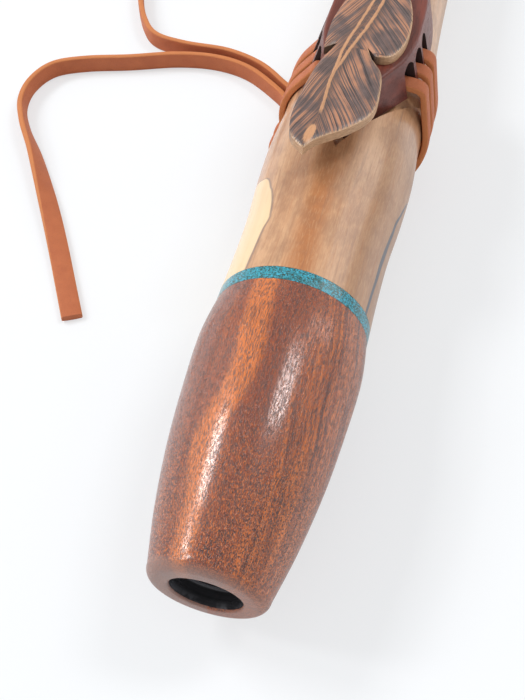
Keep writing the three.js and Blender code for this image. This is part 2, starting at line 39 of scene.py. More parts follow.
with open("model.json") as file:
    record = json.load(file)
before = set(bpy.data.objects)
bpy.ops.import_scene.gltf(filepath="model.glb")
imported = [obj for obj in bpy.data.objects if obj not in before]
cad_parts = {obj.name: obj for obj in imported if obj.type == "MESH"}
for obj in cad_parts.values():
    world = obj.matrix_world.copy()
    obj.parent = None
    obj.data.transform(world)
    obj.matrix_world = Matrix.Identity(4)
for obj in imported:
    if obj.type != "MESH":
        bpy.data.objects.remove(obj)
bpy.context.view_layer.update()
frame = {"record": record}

MM = 0.001
MOUTH_MOUNT = next(m for m in frame["record"]["mounts"] if m["name"] == "mouth_face")
MOUTH = Vector((0, MOUTH_MOUNT["pos_m"][1], MOUTH_MOUNT["pos_m"][2]))
FALL = math.atan2(MOUTH_MOUNT["axis"][2], -MOUTH_MOUNT["axis"][1])
# From the flute's own frame (x, station from the mouth, height over the bore's axis) to the row's.
ON_FLUTE = Matrix.Translation(MOUTH) @ Matrix.Rotation(-FALL, 4, "X")

GLUE_GAP = 0.06 * MM
FIT_GAP = 0.3 * MM
OVERRUN = 6 * MM
WELD = 0.001 * MM
SHARP_DEGREES = 34

# Mouthpiece and band
MOUTHPIECE_LENGTH = 61.3 * MM
MOUTH_RADIUS = 11.95 * MM
BELLY_RADIUS = 17.95 * MM
RIM_ROUND = 2.4 * MM
LIP_ROUND = 0.5 * MM
BLOW_RADIUS = 7.1 * MM
BLOW_DEPTH = 4 * MM
WINDWAY_RADIUS = 6.2 * MM
TENON_LENGTH = 14 * MM
RING_RADIUS = 17.1 * MM
RING_WIDTH = 3.2 * MM
# Points of the turned curve: share of its length, and share of its rise from the least radius.
MOUTHPIECE_CURVE = [(0.22, 0.4), (0.44, 0.733), (0.66, 0.917), (0.85, 1)]
LIP_ROUND_STEPS = 5
RIM_ROUND_STEPS = 10
MOUTHPIECE_STEPS = 60
BAND_STEPS = 8

# Body
FLUTE_LENGTH = 600 * MM
BODY_START = MOUTHPIECE_LENGTH + RING_WIDTH + 2 * GLUE_GAP
BORE_RADIUS = 10.3 * MM
WAIST_RADIUS = 16.95 * MM
SWELL_RADIUS = 18.3 * MM
SEAT_RADIUS = 17.75 * MM
SEAT_START = 122 * MM
SEAT_END = 142 * MM
ELBOW_RADIUS = 15.6 * MM
ELBOW_STATION = 158 * MM
BARREL_RADIUS = 15 * MM
BARREL_START = 195 * MM
BARREL_STEP = 5 * MM
FOOT_ROUND = 2.5 * MM
AIR_CHAMBER_END = 128 * MM
SOUND_BORE_START = 158 * MM
SWELL_CURVE = [(0.157, 0), (0.37, 0.11), (0.58, 0.72), (0.79, 1)]
SWELL_STEPS = 40
SEAT_STEPS = 5
TAPER_STEPS = 20
FOOT_STEPS = 8
BORE_STEPS = 60
BODY_SHARP_DEGREES = 28

# Nest, flue, sound hole, finger holes
NEST_HEIGHT = 13.6 * MM
NEST_LEAD = 6.4 * MM
NEST_SPREAD = 0.543
CHEEK_DEPTH = 0.75 * MM
CHEEK_REACH = 1.2 * SEAT_RADIUS
CHEEK_STEPS = 40
NEST_RUN_OUT = 8 * MM
NEST_RAMP = 24 * MM
FLUE_WIDTH = 8.4 * MM
FLUE_DEPTH = 0.9 * MM
AIR_EXIT = (120 * MM, 126 * MM)
SOUND_HOLE_LENGTH = 6 * MM
EDGE_BEVEL = 5 * MM
EDGE_UNDERCUT = 2 * MM
FINGER_HOLES = [
    (250 * MM, 3.6 * MM), (282 * MM, 4.0 * MM), (314 * MM, 4.1 * MM),
    (356 * MM, 4.0 * MM), (388 * MM, 4.3 * MM), (420 * MM, 4.5 * MM),
]
HOLE_SIDES = 48
HOLE_MOUTH_STEPS = 8
EASE_CORNER_SHARE = 0.2
TUNING_HOLE_STATION = 548 * MM
TUNING_HOLE_RADIUS = 3.2 * MM
TUNING_HOLE_DEGREES = 45

# Block
BLOCK_START = 107 * MM
BLOCK_LENGTH = 58 * MM
BLOCK_WIDTH = 28.4 * MM
BLOCK_SIDE = 0.8 * MM
BLOCK_BOTTOM = NEST_HEIGHT + FIT_GAP
BLOCK_TOP = 24.6 * MM
BLOCK_END = BLOCK_START + BLOCK_LENGTH
PROW_LENGTH = 18 * MM
PROW_WIDTH = 23.4 * MM
SHOULDER_LENGTH = 12 * MM
TAIL_LENGTH = 22 * MM
TAIL_WIDTH = 20 * MM
DRAFT_SHARE = 0.25
SHOULDER_STEPS = 8
TAIL_STEPS = 10
BLOCK_CORNER_DEGREES = 25
BLOCK_EASE_STEPS = 4
TUNNEL_FIRST = 127.3 * MM
TUNNEL_PITCH = 5.8 * MM
TUNNEL_COUNT = 3
TUNNEL_WIDTH = 4.6 * MM
TUNNEL_FLOOR = 15.8 * MM
TUNNEL_HEIGHT = 7 * MM
TUNNEL_CROWN = 1.2 * MM
TUNNEL_STEPS = 10
TUNNEL_FACE_LEAN = 0.3
LIP_WIDTH = 22 * MM

# Feather
FEATHER_LENGTH = 74 * MM
FEATHER_WIDTH = 18.6 * MM
FEATHER_THICKNESS = 2.8 * MM
FEATHER_TIP = (-5 * MM, 89 * MM)
FEATHER_TURN = -5.3
FEATHER_SHARP_DEGREES = 40
OUTLINE_STEPS = 28
RIGHT_LOBE_SHARES = [
    (0, 0), (0.05, 0.1), (0.13, 0.4), (0.208, 0.57), (0.296, 0.56), (0.388, 0.468), (0.445, 0.28),
]
RIGHT_NOTCH_SHARE = (0.493, 0.172)
RIGHT_VANE_SHARES = [
    (0.46, 0.312), (0.479, 0.5), (0.551, 0.591), (0.658, 0.565), (0.763, 0.44), (0.855, 0.247),
    (0.921, 0.065),
]
QUILL_SHARES = [(1, 0.05), (1, -0.05)]
LEFT_VANE_SHARES = [
    (0.921, -0.065), (0.829, -0.247), (0.737, -0.36), (0.601, -0.409), (0.512, -0.382), (0.447, -0.339),
]
LEFT_NOTCH_SHARE = (0.483, -0.21)
LEFT_LOBE_SHARES = [
    (0.416, -0.274), (0.355, -0.317), (0.245, -0.333), (0.118, -0.306), (0.039, -0.2), (0, 0),
]
# The rachis: share along, share across, and half the distance between its two pale lines.
RACHIS = [
    (0.0, -0.01, 0), (0.157, 0.001, 0), (0.198, -0.012, 0), (0.255, -0.044, 0), (0.303, -0.065, 0),
    (0.348, -0.07, 0.05 * MM), (0.384, -0.06, 0.35 * MM), (0.44, -0.06, 0.7 * MM), (0.51, -0.035, 0.95 * MM),
    (0.575, -0.002, 1.1 * MM), (0.66, 0.025, 1.15 * MM), (0.727, 0.04, 1.1 * MM), (0.86, 0.02, 0.8 * MM),
    (1.0, 0.0, 0.5 * MM),
]

RIDGE_START = 10 * MM
RIDGE_RUN_IN = 6 * MM
RIDGE_FLANK = 0.9 * MM
# A groove runs between the rachis's two pale lines, where they lie far enough apart.
GROOVE_FROM = 0.3 * MM
GROOVE_DEPTH = 0.16 * MM
GROOVE_SHARE = 0.6
FACE_DROP = 0.3 * MM
FACE_STEEPEST = 0.5
# How far back a barb's root lies for each step out from the rachis. On the right the lobe and the
# vane behind it differ.
LEFT_BARB_SLOPE = 3.6
RIGHT_LOBE_BARB_SLOPE = 1.55
RIGHT_VANE_BARB_SLOPE = 1.05
VANE_SHARE = 0.47
# The board that the feather is cut from: its grid, its size, and how far it reaches to the right.
BLANK_ROWS = 240
BLANK_COLUMNS = 76
BLANK_WIDTH_SHARE = 1.3
BLANK_LENGTH_SHARE = 1.05
BLANK_SIDE_SHARE = 0.1
RIM_SPACING = 0.25 * MM
# The feather's sides are bare where they face this way, and burned elsewhere and in the notches.
BARE_SIDE = Vector((0.6, -0.8))
BARE_FADE = 0.7
NOTCH_BURN = 3.2 * MM

# Lace
LACE_WIDTH = 4 * MM
LACE_THICKNESS = 1.6 * MM
LACE_CORNER_STEPS = 3
TAIL_LACE_WIDTH = 5.2 * MM
UNDER_STEPS = 26
UNDER_FINENESS = 3
FIRST_END_STEPS = 17
LAST_END_STEPS = 19
LIP_STEPS = 12
BOW_ANGLE = math.radians(44.6)
BOW_STAND = 3.4 * MM
BOW_BEND = 2.6 * MM
KNOT_RADIUS = 3.1 * MM
KNOT_TURNS = 2.4
KNOT_PITCH = 4.6 * MM
KNOT_STEPS = 67
# The loose ends: x, station and height of the lower edge over the surface, in millimetres.
NEAR_END_ROUTE = [
    (-20.4, 139.1, 4), (-20.9, 143.5, 2.7), (-22.8, 149, 0.7), (-26.9, 153.7, 0.1), (-37.5, 160.6, 0.05),
    (-48.3, 162.7, 0.05), (-60, 160.9, 0.05), (-73.6, 155.8, 0.05), (-86, 151.7, 0.05), (-94.5, 146.8, 0.05),
    (-98, 138.8, 0.05), (-97.3, 130.2, 0.05), (-93, 122, 0.05), (-86.3, 113.1, 0.05), (-79, 102.3, 0.05),
    (-72.5, 92.2, 0.05), (-66.6, 82.6, 0.05), (-61, 73.2, 0.05), (-55.4, 63.8, 0.05),
]
FAR_END_ROUTE = [
    (-17.9, 139.1, 4), (-18.2, 144.5, 2.8), (-20.4, 151.5, 0.8), (-26.3, 157.2, 0.1), (-34.7, 163.3, 0.05),
    (-45.8, 166.6, 0.05), (-59.2, 166.4, 0.05), (-69.2, 168.1, 0.05), (-75.2, 174.4, 0.05),
    (-80.6, 185.5, 0.05), (-84.3, 197.5, 0.05), (-86, 211, 0.05), (-83.6, 226, 0.05), (-78, 240, 0.05),
    (-71.5, 253, 0.05), (-66, 266, 0.05),
]
ROUTE_STEPS = 12
# How a loose end leans over: from and to which share of its length, and to how many degrees.
NEAR_END_LEAN = (0.52, 0.96, 86)
FAR_END_LEAN = (0.5, 1, 0)

# Camera, in metres in the row's frame
CAMERA_PLACE = Vector((23.9, -348.176, 181.382)) * MM
CAMERA_RIGHT = Vector((0.96428, 0.26490, 0.00058))
CAMERA_DOWN = Vector((0.22118, -0.80391, -0.55211))
CAMERA_AHEAD = Vector((-0.14578, 0.53251, -0.83377))
CAMERA_SENSOR = 36
CAMERA_LENS = 46.286
CAMERA_NEAREST = 0.01

# Each light's name, its side, its share of that side's strength, its direction and its size in metres.
LIGHTS = [
    ("left_softbox", "left", 1, (-0.65, 0.16, 0.74), (0.52, 0.62)),
    ("low_left_softbox", "left", 0.5, (-0.76, -0.12, 0.64), (0.4, 0.3)),
    ("left_window", "left", 0.35, (-0.88, 0.1, 0.4), (1.6, 2)),
    ("right_softbox", "right", 1.3, (0.4, 0.37, 0.84), (0.75, 0.36)),
    ("low_right_softbox", "right", 0.5, (0.6, 0.62, 0.5), (1.2, 0.5)),
]
LIGHT_AIM = ON_FLUTE @ Vector((0, 60 * MM, 0))
LIGHT_DISTANCE = 2.4
FLOOR_REACH = 1.5
# The share of plain white in the floor as the camera sees it.
FLOOR_GLOW = 0.58

# How far the range of a curve in a material reaches past its lowest and highest point.
CURVE_MARGIN_SHARE = 0.25


def tint(red, green, blue):
    """A colour given as it looks on a screen, 0 to 255, as the renderer's own numbers."""
    shares = [value / 255 for value in (red, green, blue)]
    return tuple(v / 12.92 if v <= 0.04045 else ((v + 0.055) / 1.055) ** 2.4 for v in shares)


class Value:
    """A number in a material: a sum written with it adds the Math nodes that it stands for."""

    def __init__(self, finish, socket):
        self.finish = finish
        self.socket = socket

    def __add__(self, other):
        return self.finish.maths("ADD", self, other)

    __radd__ = __add__

    def __sub__(self, other):
        return self.finish.maths("SUBTRACT", self, other)

    def __rsub__(self, other):
        return self.finish.maths("SUBTRACT", other, self)

    def __mul__(self, other):
        return self.finish.maths("MULTIPLY", self, other)

    __rmul__ = __mul__


class Finish:
    """One material: a principled surface, the nodes that feed it and the colour laid on so far."""

    def __init__(self, name, constants=None):
        self.material = bpy.data.materials.new(name)
        self.material.use_nodes = True
        self.tree = self.material.node_tree
        self.surface = self.tree.nodes["Principled BSDF"]
        self.colour = None
        for key, value in (constants or {}).items():
            self.feed(self.surface.inputs[key], value)

    def feed(self, socket, value):
        if isinstance(value, Value):
            self.tree.links.new(value.socket, socket)
        elif socket.type == "RGBA":
            socket.default_value = (*value, 1)
        else:
            socket.default_value = value

    def node(self, kind, settings=None, sockets=None, output=0):
        """Adds a node with its settings, then the values or links of its sockets."""
        made = self.tree.nodes.new(kind)
        for key, value in (settings or {}).items():
            if key == "stops":
                self.fill_ramp(made.color_ramp, value)
            else:
                setattr(made, key, value)
        for key, value in (sockets or {}).items():
            self.feed(made.inputs[key], value)
        return Value(self, made.outputs[output])

    def fill_ramp(self, ramp, stops):
        """Makes the ramp a smooth curve through stops of (share, level)."""
        ramp.interpolation = "CARDINAL"
        while len(ramp.elements) < len(stops):
            ramp.elements.new(1)
        for element, (share, level) in zip(ramp.elements, stops):
            element.position = share
            element.color = (level, level, level, 1)

    def maths(self, operation, first, second=0.0):
        return self.node("ShaderNodeMath", {"operation": operation}, {0: first, 1: second})

    def mix(self, share, first, second):
        """From the first colour to the second by the share."""
        return self.node("ShaderNodeMix", {"data_type": "RGBA"}, {0: share, 6: first, 7: second}, 2)

    def over(self, share, colour):
        """Lays a colour over the colour so far, by the share."""
        self.colour = self.mix(share, self.colour, colour)

    def step(self, value, low, high):
        """0 under low, 1 over high, and smooth between them."""
        sockets = {"Value": value, "From Min": low, "From Max": high}
        return self.node("ShaderNodeMapRange", {"interpolation_type": "SMOOTHSTEP"}, sockets)

    def hump(self, value, middle, reach):
        """1 at the middle, falling to 0 at the reach on either side."""
        return 1 - self.step(self.maths("ABSOLUTE", value - middle), 0, reach)

    def curve(self, value, points):
        """A value read off a smooth curve through points of (where, what)."""
        low, high = points[0][0], points[-1][0]
        levels = [what for where, what in points]
        margin = (max(levels) - min(levels)) * CURVE_MARGIN_SHARE
        bottom = min(levels) - margin
        rise = max(levels) + margin - bottom
        share = self.node("ShaderNodeMapRange", {}, {"Value": value, "From Min": low, "From Max": high})
        stops = [((where - low) / (high - low), (what - bottom) / rise) for where, what in points]
        level = self.node("ShaderNodeValToRGB", {"stops": stops}, {0: share})
        return self.node("ShaderNodeSeparateColor", {}, {0: level}) * rise + bottom

    def parts(self, vector):
        made = self.node("ShaderNodeSeparateXYZ", {}, {0: vector}).socket.node
        return [Value(self, output) for output in made.outputs]

    def stretch(self, vector, scales):
        return self.node("ShaderNodeVectorMath", {"operation": "MULTIPLY"}, {0: vector, 1: scales})

    def noise(self, vector, scales=(1, 1, 1), detail=2, roughness=0.5, warp=0.0):
        """Noise whose grain is one over each of the scales, in millimetres."""
        sockets = {
            "Vector": self.stretch(vector, scales), "Scale": 1.0, "Detail": detail,
            "Roughness": roughness, "Distortion": warp,
        }
        return self.node("ShaderNodeTexNoise", {}, sockets)

    def marks(self, vector, scales, low, high, detail=2, roughness=0.6, warp=0.0):
        """Marks in the material: 0 where the noise is under low, 1 where it is over high."""
        return self.step(self.noise(vector, scales, detail, roughness, warp), low, high)

    def cells(self, vector, scale, feature, output):
        sockets = {"Vector": self.stretch(vector, (scale, scale, scale)), "Scale": 1.0}
        return self.node("ShaderNodeTexVoronoi", {"feature": feature}, sockets, output)

    def chips(self, vector, scale):
        """Chips of one size, each with a number of its own from 0 to 1."""
        return self.node("ShaderNodeSeparateColor", {}, {0: self.cells(vector, scale, "F1", "Color")})

    def scaled_to_mm(self, place):
        return self.node("ShaderNodeVectorMath", {"operation": "SCALE"}, {0: place, "Scale": 1 / MM})

    def object_place(self):
        """The place on the piece in the row's frame, in millimetres."""
        return self.scaled_to_mm(self.node("ShaderNodeTexCoord", {}, {}, "Object"))

    def flute_place(self):
        """The place on the piece in the flute's own frame, in millimetres."""
        place = self.node("ShaderNodeTexCoord", {}, {}, "Object")
        sockets = {"Vector": place, "Location": MOUTH, "Rotation": (-FALL, 0, 0)}
        return self.scaled_to_mm(self.node("ShaderNodeMapping", {"vector_type": "TEXTURE"}, sockets))

    def round_place(self, place):
        """The angle from the top in degrees, positive to the right, and the station in millimetres."""
        x, station, z = self.parts(place)
        return self.maths("DEGREES", self.maths("ARCTAN2", x, z)), station

    def attribute(self, name):
        return self.node("ShaderNodeAttribute", {"attribute_name": name}, {}, "Fac")

    def relief(self, height, depth):
        """Raises the surface by the height, which is 0 to 1, times a depth in metres."""
        return self.node("ShaderNodeBump", {}, {"Height": height, "Distance": depth, "Strength": 1.0})

    def done(self, roughness, normal=None):
        self.feed(self.surface.inputs["Base Color"], self.colour)
        self.feed(self.surface.inputs["Roughness"], roughness)
        if normal is not None:
            self.feed(self.surface.inputs["Normal"], normal)
        return self.material


# In the finishes, places are in millimetres, angles in degrees from the top, and the rest are shares.

# The orange ribbon down the mouthpiece: station, and angle from the top.
RIBBON = [(0, -24), (10, -23), (23, -24.5), (32, -18), (39, -15), (47, -14.5), (57, -17), (62, -18)]


def oiled_red_wood(colours):
    """Open-grained red-brown wood: an orange ribbon, long lines on the right, dark pores all over."""
    wood = Finish("oiled_red_wood", {
        "Coat Weight": 0.12, "Coat Roughness": 0.12, "Specular IOR Level": 0.8, "Sheen Weight": 0.12,
    })
    place = wood.flute_place()
    angle, station = wood.round_place(place)
    angle = angle + (wood.noise(place, (0.2, 0.06, 0.2), 3) - 0.5) * 14
    off_ribbon = wood.maths("ABSOLUTE", angle - wood.curve(station, RIBBON))
    ribbon = 1 - wood.step(off_ribbon, 5.5, 12)
    right = wood.step(angle, 14, 30) * (1 - wood.step(angle, 110, 150))
    drawn_out = wood.node("ShaderNodeCombineXYZ", {}, {0: (angle + station * 0.4) * 0.32, 1: station * 0.02})
    lines = wood.noise(drawn_out, detail=3, roughness=0.6)
    warm = wood.maths("MAXIMUM", ribbon, wood.step(lines, 0.44, 0.6) * right * 0.75)
    warm = warm + wood.marks(place, (0.35, 0.05, 0.35), 0.45, 0.75, 3) * 0.3
    wood.colour = wood.mix(warm, colours.red_wood, colours.red_wood_warm)
    left = 1 - wood.step(angle, -44, -24)
    middle = wood.hump(angle, 6, 22)
    wood.over(left * 0.3 + middle * 0.55 * (1 - warm * 0.5), colours.red_wood_dull)
    dark_lines = (1 - wood.step(lines, 0.34, 0.46)) * right
    wood.over(dark_lines * 0.7, colours.red_wood_pores)
    ripples = wood.marks(place, (0.5, 2.4, 0.5), 0.5, 0.62, 1, 0.5)
    wood.over(ripples * left * 0.45, colours.red_wood_pores)
    pores = wood.marks(place, (5.4, 0.6, 5.4), 0.5, 0.58)
    wood.over(pores * 0.78, colours.red_wood_pores)
    hairs = wood.marks(place, (4, 0.09, 4), 0.54, 0.62)
    wood.over(hairs * 0.45, colours.red_wood_pores)
    low = 1 - wood.step(station, 18, 34)
    specks = wood.marks(place, (5, 2.6, 5), 0.52, 0.58)
    wood.over(specks * (low * 0.6 + 0.35) * (1 - ribbon * 0.6), colours.red_wood_pores)
    flecks = wood.marks(place, (7, 1.5, 7), 0.55, 0.62, 1, 0.5)
    wood.over(flecks * (low * 0.4 + 0.3), colours.red_wood_warm)
    wider_on_left = (1 - wood.step(angle, -70, -10)) * 1.5
    end_grain = 1 - wood.step(station - wider_on_left, 0.3, 1.9)
    dots = wood.marks(place, (7, 7, 7), 0.5, 0.6)
    shaded = wood.step(angle, 0, 60)
    wood.over(end_grain * (0.72 - dots * 0.3 - shaded * 0.52), colours.red_wood_rim)
    rough = 0.17 + pores * 0.2 + specks * 0.08 + end_grain * 0.22
    return wood.done(rough, wood.relief(1 - pores * 0.6 - specks * 0.4, 0.06 * MM))


def black_bore(colours):
    """The sealed, lacquered inside of the mouth hole."""
    inside = Finish("black_bore", {"Coat Weight": 0.8, "Coat Roughness": 0.1})
    place = inside.flute_place()
    _, station = inside.round_place(place)
    rings = inside.noise(place, (0.1, 2.5, 0.1))
    scuffs = inside.marks(place, (0.4, 0.4, 0.4), 0.4, 0.6, 2, 0.5)
    worn = (1 - inside.step(station, 0.3, 2.2)) * scuffs
    ledge = inside.hump(station, BLOW_DEPTH / MM, 0.3)
    inside.colour = inside.mix(rings * 0.2 + worn * 0.5 + ledge * 0.6, colours.bore, colours.bore_worn)
    return inside.done(0.16 + rings * 0.16, inside.relief(rings, 0.03 * MM))


def crushed_stone(colours):
    """Crushed blue-green stone and a little dark matrix set in clear resin, polished."""
    stone = Finish("crushed_stone", {"Coat Weight": 0.35, "Coat Roughness": 0.08})
    place = stone.flute_place()
    grains = stone.chips(place, 1.7)
    small = stone.chips(place, 4.2)
    drift = stone.noise(place, (0.3, 0.3, 0.3)) - 0.5
    stone.colour = stone.mix(stone.step(grains + drift, 0.3, 0.7), colours.stone_green, colours.stone_blue)
    stone.over(stone.step(small, 0.6, 0.9) * 0.7, colours.stone_bright)
    stone.over((1 - stone.step(small, 0.16, 0.3)) * 0.85, colours.stone_matrix)
    edges = stone.cells(place, 1.7, "DISTANCE_TO_EDGE", "Distance")
    stone.over((1 - stone.step(edges, 0.0, 0.12)) * 0.45, colours.stone_matrix)
    stone.over(stone.marks(place, (1.1, 1.1, 1.1), 0.6, 0.68, 3, 0.5) * 0.5, colours.stone_matrix)
    return stone.done(0.2 + small * 0.16, stone.relief(edges, 0.04 * MM))


# The edge of the cream sapwood on the left: station, and angle from the top.
SAPWOOD_EDGE = [
    (60, -40), (64.4, -39), (69, -38.3), (76.4, -36.4), (80.3, -34.3), (88.9, -42), (93.9, -53), (96, -75),
    (99, -100),
]
# The grey-blue mineral streak on the right.
GREY_STREAK = [(60, 64), (65, 65.8), (73, 68.6), (81, 70.9), (89, 74), (95, 75.5), (103, 85), (108, 93)]


def oiled_pale_wood(colours):
    """Pale wood with an orange-brown heart, cream sapwood and a grey mineral streak."""
    wood = Finish("oiled_pale_wood", {"Coat Weight": 0.4, "Coat Roughness": 0.16})
    place = wood.flute_place()
    angle, station = wood.round_place(place)
    wander = (wood.noise(place, (0.1, 0.03, 0.1), 3) - 0.5) * 26
    figure = wood.marks(place, (0.22, 0.022, 0.22), 0.3, 0.7, 4, 0.6, 0.3)
    wood.colour = wood.mix(figure, colours.figured_wood_dull, colours.figured_wood)
    near = 1 - wood.step(station, 108, 135)
    # Painted shade: the body's right side, near the mouth, is darkened.
    shade = wood.step(angle + wander * 0.5, 22, 52) * near
    wood.over(shade * 0.7, colours.figured_wood_shade)
    heart = wood.hump(angle + wander * 0.6, 3, 19) * (1 - wood.step(station, 84, 106))
    far_heart = wood.marks(place, (0.13, 0.012, 0.13), 0.5, 0.68, 3, 0.55, 0.4) * (1 - near)
    wood.over(wood.maths("MAXIMUM", heart * 0.85, far_heart * 0.75), colours.heartwood)
    # A dull brown patch on top of the body under and just in front of the feather's tip: partly the wood's
    # own clouds, partly painted shadow of the feather.
    cloud = wood.hump(angle + wander, -8, 34) * wood.hump(station, 94, 12)
    wood.over(cloud * 0.4, colours.cloud)
    fibres = wood.noise(place, (2.4, 0.08, 2.4), 3, 0.6)
    wood.over(wood.step(fibres, 0.5, 0.7) * 0.3, colours.heartwood)
    wood.over(wood.marks(place, (0.7, 0.02, 0.7), 0.54, 0.64, 3, 0.6, 0.2) * 0.3, colours.cloud)
    wood.over((1 - wood.marks(place, (0.16, 0.12, 0.16), 0.36, 0.56, 3)) * 0.35, colours.cloud)
    threads = wood.noise(place, (3, 0.45, 3), 2, 0.7, 0.3)
    wood.over(wood.step(threads, 0.48, 0.7) * 0.14, colours.sapwood)
    wood.over((1 - wood.step(threads, 0.34, 0.5)) * 0.16, colours.cloud)
    sap_edge = wood.curve(station, SAPWOOD_EDGE)
    sap = wood.step(sap_edge - angle, 0.0, 1.6) * (1 - wood.step(station, 98, 99))
    wood.over(sap * (1 - wood.step(fibres, 0.5, 0.8) * 0.25), colours.sapwood)
    rim = wood.hump(angle - sap_edge, 0, 1.9) * (1 - wood.step(station, 96, 98))
    wood.over(rim * 0.5, colours.mineral)
    off_streak = angle - wood.curve(station, GREY_STREAK) + (fibres - 0.5) * 2
    half_width = wood.hump(station, 82, 16) * 2.2 + 2.6
    grey = wood.hump(off_streak, 0, half_width) * (1 - wood.step(station, 98, 108))
    wood.over(wood.step(grey, 0.1, 0.6) * 0.95, colours.mineral)
    faint = wood.marks(place, (0.35, 0.012, 0.35), 0.66, 0.7, 2, 0.5, 0.5) * (1 - near)
    wood.over(faint * 0.5, colours.mineral)
    return wood.done(0.29 + fibres * 0.12, wood.relief(fibres, 0.02 * MM))


def satin_purple_wood(colours):
    """Satin purple-brown wood of the block, with fine pores along the flute."""
    wood = Finish("satin_purple_wood", {"Coat Weight": 0.05, "Coat Roughness": 0.25})
    place = wood.flute_place()
    figure = wood.marks(place, (0.35, 0.05, 0.35), 0.3, 0.7, 4)
    wood.colour = wood.mix(figure, colours.purple_wood, colours.purple_wood_light)
    pores = wood.marks(place, (4, 0.35, 4), 0.55, 0.66, 2, 0.5)
    wood.over(pores * 0.4, colours.purple_wood_pores)
    return wood.done(0.4 + pores * 0.15, wood.relief(1 - pores, 0.03 * MM))


def tunnel_painted_shade(colours):
    """Painted shade: the inside of a tunnel for the lace, coloured near black."""
    slot = Finish("tunnel_painted_shade")
    shade_mottle = slot.noise(slot.flute_place(), (1.5, 1.5, 1.5))
    slot.colour = slot.mix(shade_mottle, colours.charred, colours.purple_wood_pores)
    return slot.done(0.6 + shade_mottle * 0.2)


def burnt_feather(colours):
    """The feather's face: burned barbs with bare wood between them, and two pale lines on its rachis."""
    face = Finish("burnt_feather", {"Coat Weight": 0.15, "Coat Roughness": 0.2})
    place = face.flute_place()
    aside = face.attribute("aside")
    split = face.attribute("split")
    along = face.attribute("along")
    distance = face.maths("ABSOLUTE", aside)
    right = face.step(aside, -0.05, 0.05)
    barb = face.attribute("root") * (0.85 + right * 0.55)
    pick = face.node("ShaderNodeCombineXYZ", {}, {0: barb, 1: right * 7, 2: distance * 0.07})
    strokes = face.noise(pick, (2.3, 1, 1), 2, 0.6)
    warmth = face.marks(place, (0.13, 0.13, 0.13), 0.3, 0.62, 2, 0.5)
    bare = face.step(face.noise(pick) * 0.7 + strokes * 0.3 + warmth * 0.06, 0.5, 0.6)
    burned = face.noise(place, (0.5, 0.5, 0.5), 3)
    scorch = face.mix(burned, colours.burn, colours.burn_light)
    bare_wood = face.mix(warmth, colours.feather_wood_dull, colours.feather_wood)
    face.colour = face.mix(bare * (0.45 + warmth * 0.4), scorch, bare_wood)
    face.over(face.step(strokes, 0.5, 0.58) * 0.75 * (1 - bare), colours.burn_dark)
    halo = 1 - face.step(distance - split, 0.5, 2.6)
    face.over(halo * 0.55, colours.burn)
    ragged = (face.noise(place, (0.7, 0.7, 0.7), 3, 0.6) - 0.5) * 0.5
    line = 1 - face.step(face.maths("ABSOLUTE", distance - split) + ragged, 0.26, 0.46)
    line = line * face.step(along, 10.5, 12.5)
    face.over(line * (0.7 + burned * 0.4), colours.rachis)
    dot = face.hump(along, 4.4, 4.4) * face.hump(aside, 0.1, 1.5) + (strokes - 0.5) * 0.8
    face.over(face.step(dot, 0.16, 0.4), colours.rachis)
    frayed = face.attribute("rim") + (strokes - 0.5) * 1.6
    face.over((1 - face.step(frayed, 0.0, 0.5)) * face.attribute("open"), colours.feather_edge)
    return face.done(0.4 + bare * 0.12, face.relief((1 - bare) * -0.5 + line, 0.08 * MM))


def feather_edge(colours):
    """The feather's cut sides: bare pale wood in front, burned dark on the left and in the notches."""
    edge = Finish("feather_edge")
    fibres = edge.noise(edge.flute_place(), (1.2, 0.25, 5), 3, 0.6)
    edge.colour = edge.mix(edge.step(fibres, 0.35, 0.7), colours.feather_edge, colours.feather_edge_dull)
    edge.over(1 - edge.attribute("open"), colours.burn)
    return edge.done(0.5, edge.relief(fibres, 0.04 * MM))


def tan_leather(colours):
    """The lace: a smooth dyed face and pale, rougher cut edges."""
    leather = Finish("tan_leather", {"Specular IOR Level": 0.25})
    place = leather.object_place()
    across = leather.maths("ABSOLUTE", leather.attribute("across"))
    tone = leather.noise(place, (0.25, 0.25, 0.25), 3)
    grain = leather.noise(place, (5, 5, 5), 3, 0.6)
    leather.colour = leather.mix(tone, colours.leather, colours.leather_dull)
    leather.over((1 - leather.step(grain, 0.3, 0.5)) * 0.3, colours.leather_pits)
    pale = leather.step(across + (grain - 0.5) * 0.12, 0.86, 0.98)
    leather.over(pale * 0.55, colours.leather_edge)
    pits = leather.step(grain, 0.35, 0.55)
    return leather.done(0.56 + pale * 0.2, leather.relief(pits, 0.04 * MM))


def plain_floor():
    """A matt white floor that the camera sees as partly plain white, so that its shadows are soft."""
    floor = Finish("plain_floor", {"Base Color": tint(240, 244, 248), "Roughness": 0.9})
    glow = floor.node("ShaderNodeEmission", {}, {"Color": tint(247, 248, 249)})
    seen = floor.node("ShaderNodeLightPath", {}, {}, "Is Camera Ray")
    matt = Value(floor, floor.surface.outputs[0])
    shown = floor.node("ShaderNodeMixShader", {}, {0: seen * FLOOR_GLOW, 1: matt, 2: glow})
    floor.feed(floor.tree.nodes["Material Output"].inputs[0], shown)
    return floor.material


def eased(share):
    """The share with a soft start and a soft end."""
    return share * share * (3 - 2 * share)


def evenly(first, last, count):
    """Numbers from the first to the last in so many equal steps."""
    return [first + (last - first) * step / count for step in range(count + 1)]


def through(points, count):
    """Points on the smooth curve through the given ones."""
    knots = [Vector(p) for p in points]
    last = len(knots) - 1
    made = []
    for place in evenly(0, last, count):
        k = min(int(place), last - 1)
        t = place - k
        before, here, there, after = (knots[min(max(k + j, 0), last)] for j in (-1, 0, 1, 2))
        leave, arrive = (there - before) / 2, (after - here) / 2
        made.append(
            (2 * here - 2 * there + leave + arrive) * t**3
            + (3 * there - 3 * here - 2 * leave - arrive) * t**2
            + leave * t + here
        )
    return made


